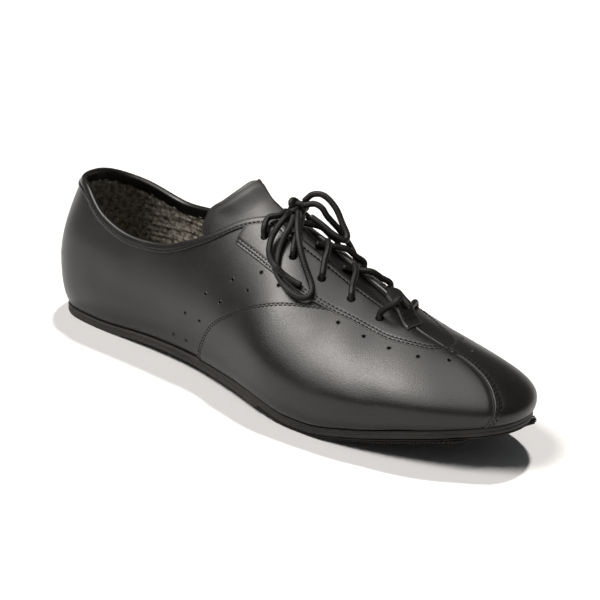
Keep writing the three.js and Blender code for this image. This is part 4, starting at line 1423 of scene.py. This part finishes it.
def rib_pattern():
    """Ribs across a line, each as long as the line's reach there."""
    pattern = Pattern("ribs", ["Pitch", "Height"])
    pitch = pattern.given("Pitch")
    bar = pattern.node("GeometryNodeMeshCube", None, {"Size": (1.0, 1.0, 1.0)})
    size = pattern.scaled(pitch * 0.55, pattern.named("reach", "FLOAT"), pattern.given("Height"))
    return pattern.copies(pattern.along_lines(pitch), bar, size)


def apply_modifiers(piece):
    depsgraph = bpy.context.evaluated_depsgraph_get()
    mesh = bpy.data.meshes.new_from_object(piece.evaluated_get(depsgraph), depsgraph=depsgraph)
    piece.modifiers.clear()
    piece.data = mesh


def grown(name, mesh, pattern, finish, sharp=60, **inputs):
    """Runs a pattern on a mesh and keeps the result as a plain piece."""
    piece = linked(name, mesh)
    modifier = piece.modifiers.new(name, "NODES")
    modifier.node_group = pattern
    wanted = {key.replace("_", " ").title(): value for key, value in inputs.items()}
    wanted["Finish"] = finish_named(finish)
    for socket in pattern.interface.items_tree:
        if socket.in_out == "INPUT" and socket.name in wanted:
            modifier[socket.identifier] = wanted[socket.name]
    apply_modifiers(piece)
    smoothed(piece.data, sharp)
    return piece


def lines_mesh(name, lines):
    """Open lines of points as a mesh of edges."""
    points = np.concatenate(lines)
    edges = []
    start = 0
    for line in lines:
        edges += [(start + i, start + i + 1) for i in range(len(line) - 1)]
        start += len(line)
    mesh = bpy.data.meshes.new(name)
    mesh.from_pydata(points.tolist(), edges, [])
    return mesh


def holes_mesh(name, holes, height=0.0):
    """Points at holes, each with the direction square to the leather."""
    side, place, up = np.array(holes, float).T
    mesh = bpy.data.meshes.new(name)
    mesh.from_pydata(offset(side, place, up, height).tolist(), [], [])
    attribute = mesh.attributes.new("square", "FLOAT_VECTOR", "POINT")
    attribute.data.foreach_set("vector", outward(side, place, up).astype(np.float32).reshape(-1))
    return mesh


def cut_out(piece, tool):
    """Cuts a tool's shape out of a piece and takes the tool away."""
    cut = piece.modifiers.new("cut", "BOOLEAN")
    cut.operation = "DIFFERENCE"
    cut.solver = "MANIFOLD"
    cut.object = tool
    apply_modifiers(piece)
    bpy.data.objects.remove(tool)
    piece.data.set_sharp_from_angle(angle=math.radians(50))


def punch(piece, holes, diameter):
    """Cuts round holes through a piece."""
    name = f"{piece.name}_punch"
    tool = grown(
        name, holes_mesh(name, holes), punch_pattern(), "raw_edge", diameter=diameter, depth=PUNCH_DEPTH)
    cut_out(piece, tool)


def add_rims(name, holes, height):
    """Raises soft rims round pinholes."""
    rims = grown(
        name, holes_mesh(name, holes, height), rim_pattern(), "upper_leather",
        diameter=sizes().pinhole, rim=PUNCH_RIM)
    place_piece(rims, "upper_leather")


def add_stitches(name, lines, slot="upper_leather"):
    """Sews along lines."""
    piece = grown(
        name, lines_mesh(name, lines), bpy.data.node_groups.get("stitches") or stitch_pattern(),
        "thread", 80, stitch_length=sizes().stitch_length, stitch_gap=sizes().stitch_gap,
        thread_thickness=sizes().thread)
    return place_piece(piece, slot)


class SHOE_OT_upper(Builds, bpy.types.Operator):
    """Draw the upper over the last, with its wall, its eyelets and its pinholes"""

    bl_idname = "shoe.upper"
    bl_label = "Upper"

    def build(self):
        side, place = ring_of_wall(120)
        rows = spread(44, 70 * MM, (), AT_EDGE)[None]
        top = top_edge(side, place)
        up = rows * top
        outer = offset(side, place, up, -crease_depth(last(side, place, up)))
        inner = offset(side, place, up, -WALL)
        shell = hollow_wall(place, outer, inner, CLEAR_OF_EDGE_PAINT, 1)
        piece = shell.piece("leather_upper", ["upper_leather", "raw_edge"])
        punch(piece, eyelet_holes(), EYELET)
        punch(piece, pin_holes(QUARTER_HOLES + VAMP_HOLES), sizes().pinhole)
        place_piece(piece, "upper_leather", "upper")
        add_rims("pinhole_rims", pin_holes(QUARTER_HOLES), 0.0)


class SHOE_OT_overlays(Builds, bpy.types.Operator):
    """Lay the vamps and eyestays over the upper, sewn down with double rows"""

    bl_idname = "shoe.overlays"
    bl_label = "Vamps and eyestays"

    def build(self):
        for side, name in ((OUTER, "outer"), (INNER, "inner")):
            self.vamp(side, name)
            self.eyestay(side, name)

    def vamp(self, side, name):
        wing_top = WING_SEAM[-1][0]

        def place_at(across, up):
            seam = toe_seam(up)
            front = seam if side == OUTER else 2 - seam
            return mix(wing_seam(np.minimum(up, wing_top)), front, across)

        across = spread(110, 175 * MM, NEAR_EDGE, NEAR_EDGE)[:, None]
        top = np.full(across.shape, wing_top)
        for _ in range(16):
            place = place_at(across, top)
            seam = stay_seam(np.minimum(place, 2 - place))
            top = np.where(seam >= 0.999, 1.0, seam)
        rows = spread(44, 60 * MM, AT_EDGE, AT_EDGE)[None]
        up = mix(0.012, top, rows)
        place = place_at(across, up)
        seams = [("first", row) for row in double_row()]
        toe_rows = [("final", row) for row in double_row()]
        proud = 0.35 * MM if side == INNER else -0.3 * MM

        def toe_edge(sheet):
            return proud * (1 - smoothstep(0.6 * MM, 3 * MM, sheet.away["final"]))

        sheet = Sheet(
            side, place, up, seams=seams + (toe_rows if side == INNER else []), heights=toe_edge,
            round_at=("first", "final"))
        piece = sheet.piece(f"leather_vamp_{name}")
        holes = pin_holes(VAMP_HOLES, [side])
        punch(piece, holes, sizes().pinhole)
        place_piece(piece, "upper_leather", f"vamp_{name}")
        add_rims(f"vamp_rims_{name}", holes, TOP - 0.02 * MM)
        lines = [sheet.line("first", row, 0.03, 0.97) for row in double_row()]
        if side == INNER:
            lines += [sheet.line("final", row, 0.03, 0.99) for row in double_row()]
        add_stitches(f"vamp_stitches_{name}", lines)

    def eyestay(self, side, name):
        corner = np.linspace(0.485, 0.53, 12)
        meeting = np.array([band_end - 0.001, band_end + 0.001, band_end + 0.006, band_end + 0.012])
        place = merged(np.linspace(0.478, 0.93, 120), corner, meeting)[:, None]
        seam = stay_seam(place)
        above = np.where(place <= band_end, band_foot(side, place), 1.0)
        top = np.maximum(above, seam + 0.004)
        rows = spread(26, 32 * MM, NEAR_EDGE, NEAR_EDGE)[None]
        up = mix(seam, top, rows)
        proud = 0.3 * MM if side == INNER else -0.3 * MM

        def centre_edge(sheet):
            at_ridge = smoothstep(band_end - 0.01, band_end + 0.02, place)
            return proud * at_ridge * (1 - smoothstep(0.5 * MM, 2.6 * MM, sheet.away["high"]))

        seams = [("low", row) for row in double_row()]
        sheet = Sheet(side, place, up, thickness=TOP + 0.25 * MM, seams=seams, heights=centre_edge)
        piece = sheet.piece(f"leather_eyestay_{name}")
        punch(piece, eyelet_holes([side]), EYELET)
        place_piece(piece, "upper_leather", f"eyestay_{name}")
        lines = [sheet.line("low", row, 0.01, 0.95) for row in double_row()]
        add_stitches(f"eyestay_stitches_{name}", lines)


class SHOE_OT_collar(Builds, bpy.types.Operator):
    """Fold the band round the collar and down the facings"""

    bl_idname = "shoe.collar"
    bl_label = "Collar band"

    # The folded band in section: distance below the rim, and height over the last
    PROFILE = [
        (6.5, -2.3), (6.3, -2.55), (5.4, -2.65), (3.0, -2.65), (1.0, -2.6), (0.3, -2.45), (-0.15, -2.1),
        (-0.4, -1.5), (-0.5, -0.8), (-0.42, -0.1), (-0.15, 0.4), (0.3, 0.6), (1.0, 0.7), (2.1, 0.8),
        (2.7, 0.78), (3.1, 0.62), (3.5, 0.76), (3.9, 0.92), (4.2, 0.96), (4.42, 0.9), (4.5, 0.7),
        (4.5, 0.04), (3.0, 0.04), (1.0, 0.04), (-0.06, 0.04), (-0.06, -1.0), (-0.06, -2.04), (3.0, -2.04),
        (6.5, -2.04),
    ]
    STITCHES = (3.1, 0.74)
    EDGES = slice(18, 22)  # the part of the section painted lighter, as wear and as a painted highlight along the band's lower edge
    CLEAR_OF_EDGE_PAINT = 3 * MM

    def build(self):
        corners = np.linspace(0.46, 0.54, 33)
        place = merged(np.linspace(-band_end, band_end, 300), corners, -corners)
        side = np.where(place < 0, OUTER, INNER).astype(float)
        place = np.abs(place)
        top = top_edge(side, place)
        per = up_per_metre(side, place, top)
        section = np.array(self.PROFILE + self.PROFILE[:1]) * MM
        points = self.points(side, place, top, per, section)
        shell = Shell()
        # Only the band's lower edge is painted lighter, as wear and as a painted highlight.
        edge = np.full(points.shape[:2], self.CLEAR_OF_EDGE_PAINT)
        edge[:, self.EDGES] = 0
        shell.grid(points, 0, edge)
        for ring in (points[0], points[-1]):
            middle = np.broadcast_to(ring[:-1].mean(0), ring.shape)
            shell.grid(np.stack([ring, middle]), 0, self.CLEAR_OF_EDGE_PAINT)
        piece = shell.piece("leather_band", ["band_leather"], 60)
        place_piece(piece, "band_leather", "collar_band")
        line = self.points(side, place, top, per, np.array([self.STITCHES]) * MM)[:, 0]
        add_stitches("band_stitches", [line[4:-4]], "band_leather")

    def points(self, side, place, top, per, section):
        up = top[:, None] - section[None, :, 0] * per[:, None]
        return offset(side[:, None], place[:, None], up, section[None, :, 1])


class SHOE_OT_lining(Builds, bpy.types.Operator):
    """Line the shoe with matted pile, and lay the insole in it"""

    bl_idname = "shoe.lining"
    bl_label = "Lining and insole"

    def build(self):
        side, place = ring_of_wall(180)
        top = top_edge(side, place)
        per = up_per_metre(side, place, np.minimum(top, 0.98))
        limit = top - np.where(place < throat_place, LINING_DROP * per, 0)
        rows = np.linspace(0, 1, 84)[None]
        up = mix(0.03, limit, rows)
        depth = WALL + 0.15 * MM + sizes().pile * (0.35 + self.tufts(last(side, place, up)))
        back = offset(side, place, up, -WALL - 0.03 * MM)
        shell = hollow_wall(place, back, offset(side, place, up, -depth), 0.0, 0)
        place_piece(shell.piece("pile_lining", ["lining_pile"], 180), "insole_felt")
        self.insole()

    def tufts(self, points):
        """Clumps of the pile: waves of three sizes that don't repeat."""
        rng = np.random.default_rng(TUFT_SEED)
        total = np.zeros(points.shape[:-1])
        for size, share in ((5 * MM, 0.3), (3.1 * MM, 0.4), (2.1 * MM, 0.3)):
            for _ in range(5):
                way = unit(rng.normal(size=3)) * (2 * np.pi / size)
                total += share / 5 * np.sin(points @ way + rng.uniform(0, 6.28)) * 1.8
        return total

    def insole(self):
        places = np.linspace(0, 1, 121)
        inset = FEATHER_INSET + WALL + 3 * GAP
        share = share_of(places)
        bottom = sole_top(share) + GAP
        top = bottom + INSOLE
        profile = [(0.0, 0.0), (0.0, 0.7), (0.25 * MM, 0.93), (0.8 * MM, 1.0)]
        across = [(OUTER, *row) for row in profile] + [(INNER, *row) for row in profile[::-1]]
        upper_half = np.stack([
            sole_line(side, places, inset + extra, mix(bottom, top, level))
            for side, extra, level in across], 1)
        shell = Shell()
        shell.grid(upper_half)
        shell.grid(np.stack([upper_half[:, -1], upper_half[:, 0]], 1))
        place_piece(shell.piece("insole_sheet", ["insole_felt"], 60), "insole_felt", "insole")


class SHOE_OT_tongue(Builds, bpy.types.Operator):
    """Lay the padded tongue under the facings"""

    bl_idname = "shoe.tongue"
    bl_label = "Tongue"

    def build(self):
        along = spread(60, 95 * MM, AT_EDGE, ())[:, None]
        along = along * mix(0.5, 1, along)
        out = spread(70, 66 * MM, AT_EDGE, AT_EDGE)[None] * 2 - 1
        side = np.where(out < 0, OUTER, INNER)
        far = np.abs(out)
        place = mix(TONGUE_TOP - tongue_edge(far), TONGUE_FOOT, along)
        width = mix(TONGUE_BACK_HALF, TONGUE_FRONT_HALF, along)
        up = 1 - width * far
        lift = TONGUE_LIFT * (1 - smoothstep(0, 0.13, along)) * (1 - far * far)
        side, place, up, lift = floats(side, place, up, lift)
        base = last(side, place, up)
        normal = outward(side, place, up)
        from_back = lengths(base, 0)
        from_low = lengths(base, 1)
        away = np.minimum.reduce([from_back, from_low, from_low[:, -1:] - from_low])
        thin = rounding(away, TONGUE / 2)
        hem = trough(away, 3.2 * MM, 0.7 * MM, 0.22 * MM)
        padding = 0.25 * MM * smoothstep(2 * MM, 6 * MM, away) - hem
        over = base + normal * (lift - TONGUE_DEPTH - thin + padding)[..., None]
        under = base + normal * (lift - TONGUE_DEPTH - TONGUE + thin)[..., None]
        shell = Shell()
        shell.sandwich(over, under, away, away, 0)
        piece = shell.piece("padded_tongue", ["tongue_leather"], 80)
        place_piece(piece, "tongue_leather", "tongue")


class SHOE_OT_keeper(Builds, bpy.types.Operator):
    """Sew the lace keeper down ahead of the throat"""

    bl_idname = "shoe.keeper"
    bl_label = "Lace keeper"

    def build(self):
        along = spread(40, KEEPER_LENGTH, AT_EDGE, AT_EDGE)[:, None]
        across = spread(16, KEEPER_WIDTH, AT_EDGE, AT_EDGE)[None] * 2 - 1
        middle = keeper_point(along, across, 0)
        from_end = lengths(middle, 0)
        from_side = lengths(middle, 1)
        away = np.minimum.reduce([
            from_end, from_end[-1:] - from_end, from_side, from_side[:, -1:] - from_side])
        round_off = rounding(away, 0.5 * MM)
        over = keeper_point(along, across, KEEPER_THICKNESS - round_off)
        under = keeper_point(along, across, round_off * 0.6)
        shell = Shell()
        shell.sandwich(over, under, away, away)
        piece = shell.piece("leather_keeper", ["band_leather", "raw_edge"])
        self.cut_slot(piece)
        place_piece(piece, "band_leather", "lace_keeper")
        across = np.linspace(-0.75, 0.75, 12)
        rows = [keeper_point(row, across, KEEPER_THICKNESS) for row in (0.07, 0.17)]
        along = np.linspace(0.19, 0.72, 24)
        rows += [keeper_point(along, edge, KEEPER_THICKNESS) for edge in (-0.72, 0.72)]
        add_stitches("keeper_stitches", rows, "band_leather")

    def cut_slot(self, piece):
        """Cuts the slot that the first bar of the lace runs through."""
        middle = keeper_point(KEEPER_HOLE, 0, KEEPER_THICKNESS / 2)
        turn = np.linspace(0, 2 * np.pi, 33)
        ring = np.stack([
            middle[0] + SLOT_HALF[0] * np.cos(turn), middle[1] + SLOT_HALF[1] * np.sin(turn),
            np.zeros(33)], -1)
        low = ring + (0, 0, middle[2] - 6 * MM)
        high = ring + (0, 0, middle[2] + 6 * MM)
        shell = Shell()
        shell.grid(np.stack([low, high], 1))
        for rim in (low, high):
            inside = np.broadcast_to(rim[:-1].mean(0), rim.shape)
            shell.grid(np.stack([rim, inside], 1))
        cut_out(piece, shell.piece("slot_tool", ["raw_edge"]))


class SHOE_OT_sole(Builds, bpy.types.Operator):
    """Build the sole board, its grooved edge and the ribbed rubber half-sole"""

    bl_idname = "shoe.sole"
    bl_label = "Sole"

    def build(self):
        self.board()
        self.half_sole()
        self.feather()

    def board(self):
        step = float(place_of((TREAD_BACK + GAP) / LENGTH))
        places = np.unique(np.concatenate([
            np.linspace(0, 1, 181), [float(place_of(TREAD_BACK / LENGTH)), step]]))
        share = share_of(places)
        top = sole_top(share)
        bottom = ground_rise(share) + np.where(places >= step, TREAD + GAP, 0)
        middle = (top + bottom) / 2
        # Inset from the outline, the height that it is measured from, and the distance from that height
        profile = [
            (2.4, top, -0.02), (0.75, top, -0.02), (0.35, top, -0.12), (0.1, top, -0.35), (0, top, -0.7),
            (0, middle, 0.4), (0.06, middle, 0.22), (0.3, middle, 0.08), (0.3, middle, -0.08),
            (0.06, middle, -0.22), (0, middle, -0.4), (0, bottom, 0.7), (0.12, bottom, 0.3),
            (0.4, bottom, 0.08), (0.9, bottom, 0),
        ]
        sides = []
        for side in (OUTER, INNER):
            sides.append(np.stack([
                sole_line(side, places, inset * MM, level + distance * MM)
                for inset, level, distance in profile], 1))
        shell = Shell()
        shell.grid(np.concatenate([sides[0], sides[1][:, ::-1], sides[0][:, :1]], 1))
        place_piece(shell.piece("board_sole", ["sole_board"], 40), "sole_board", "outsole")

    def half_sole(self):
        rib = sizes().rib_height
        start = float(place_of((TREAD_BACK + 2 * GAP) / LENGTH))
        places = np.linspace(start, 1, 121)
        share = share_of(places)
        low = ground_rise(share)
        corners = ((OUTER, TREAD), (OUTER, rib), (INNER, rib), (INNER, TREAD), (OUTER, TREAD))
        section = np.stack([
            sole_line(side, places, TREAD_INSET, low + level) for side, level in corners], 1)
        shell = Shell()
        shell.grid(section)
        for ring in (section[0], section[-1]):
            shell.grid(np.stack([ring[:2], ring[3:1:-1]]))
        piece = shell.piece("rubber_half_sole", ["tread_rubber"], 40)
        place_piece(piece, "tread_rubber", "forefoot_tread")
        self.ribs(start, rib)

    def ribs(self, start, rib):
        places = np.linspace(start + 0.004, 0.935, 90)
        share = share_of(places)
        outer = inset_outline(OUTER, places, TREAD_INSET)
        inner = inset_outline(INNER, places, TREAD_INSET)
        middle = (outer + inner) / 2
        line = stack(middle[:, 0], middle[:, 1], ground_rise(share) + rib * 0.6 + 0.08 * MM)
        mesh = lines_mesh("half_sole_ribs", [line])
        reach = mesh.attributes.new("reach", "FLOAT", "POINT")
        wide = np.abs(inner[:, 1] - outer[:, 1]) - 0.6 * MM
        reach.data.foreach_set("value", wide.astype(np.float32))
        ribs = grown(
            "half_sole_ribs", mesh, rib_pattern(), "tread_rubber", 30,
            pitch=sizes().rib_pitch, height=rib * 1.1)
        place_piece(ribs, "tread_rubber")

    def feather(self):
        """A dark strip in the crease between the upper's foot and the sole: a dark joint, and painted shade
        that darkens the crease.
        """
        side, place = ring_of_wall(150)
        profile = [(3.2, 0.02), (1.9, 0.02), (1.9, 0.5), (3.2, 0.5), (3.2, 0.02)]
        top = sole_top(share_of(place))
        shell = Shell()
        shell.grid(np.concatenate([
            sole_line(side, place, inset * MM, top + height * MM) for inset, height in profile], 1))
        place_piece(shell.piece("feather_strip", ["tread_rubber"], 60), "upper_leather")


class SHOE_OT_stage(Builds, bpy.types.Operator):
    """Add the floor and the studio lights"""

    bl_idname = "shoe.stage"
    bl_label = "Stage"

    def build(self):
        mesh = bpy.data.meshes.new("floor")
        corners = [(-1, -1), (1, -1), (1, 1), (-1, 1)]
        mesh.from_pydata([(x * FLOOR_HALF, y * FLOOR_HALF, 0) for x, y in corners], [], [(0, 1, 2, 3)])
        mesh.materials.append(finish_named("studio_floor"))
        floor = linked("floor", mesh)
        add_light("front_light", (-0.32, -0.43, 0.84), 2.6, 26)
        add_light("broad_light", (-0.16, -0.36, 0.92), 4.4, 80, lights_matt=False)
        add_light("back_light", (-0.2, 0.34, 0.91), 2.6, 4, lights_gloss=False)
        world = bpy.data.worlds.new("studio")
        world.use_nodes = True
        sky = world.node_tree.nodes["Background"].inputs
        sky["Color"].default_value = SKY_COLOUR
        sky["Strength"].default_value = SKY_STRENGTH
        bpy.context.scene.world = world
        bpy.context.scene.view_settings.view_transform = "Standard"


OPERATORS = (
    SHOE_OT_camera, SHOE_OT_bow, SHOE_OT_lacing, SHOE_OT_upper, SHOE_OT_overlays, SHOE_OT_collar,
    SHOE_OT_lining, SHOE_OT_tongue, SHOE_OT_keeper, SHOE_OT_sole, SHOE_OT_stage,
)


class SHOE_PT_sidebar(bpy.types.Panel):
    """Builds the shoe's pieces"""

    bl_idname = "SHOE_PT_sidebar"
    bl_label = "Cycling shoe"
    bl_space_type = "VIEW_3D"
    bl_region_type = "UI"
    bl_category = "Shoe"

    def draw(self, context):
        for group in (context.scene.shoe_sizes, context.scene.shoe_colours):
            box = self.layout.box()
            for name in group.__annotations__:
                box.prop(group, name)
        for operator in OPERATORS:
            self.layout.operator(operator.bl_idname)


CLASSES = (ShoeSizes, ShoeColours, *OPERATORS, SHOE_PT_sidebar)


def register():
    for kind in CLASSES:
        bpy.utils.register_class(kind)
    bpy.types.Scene.shoe_sizes = bpy.props.PointerProperty(type=ShoeSizes)
    bpy.types.Scene.shoe_colours = bpy.props.PointerProperty(type=ShoeColours)


def unregister():
    del bpy.types.Scene.shoe_colours
    del bpy.types.Scene.shoe_sizes
    for kind in reversed(CLASSES):
        bpy.utils.unregister_class(kind)


def main():
    register()
    for operator in OPERATORS:
        group, name = operator.bl_idname.split(".")
        getattr(getattr(bpy.ops, group), name)()
    bpy.context.view_layer.update()


if __name__ == "__main__":
    main()
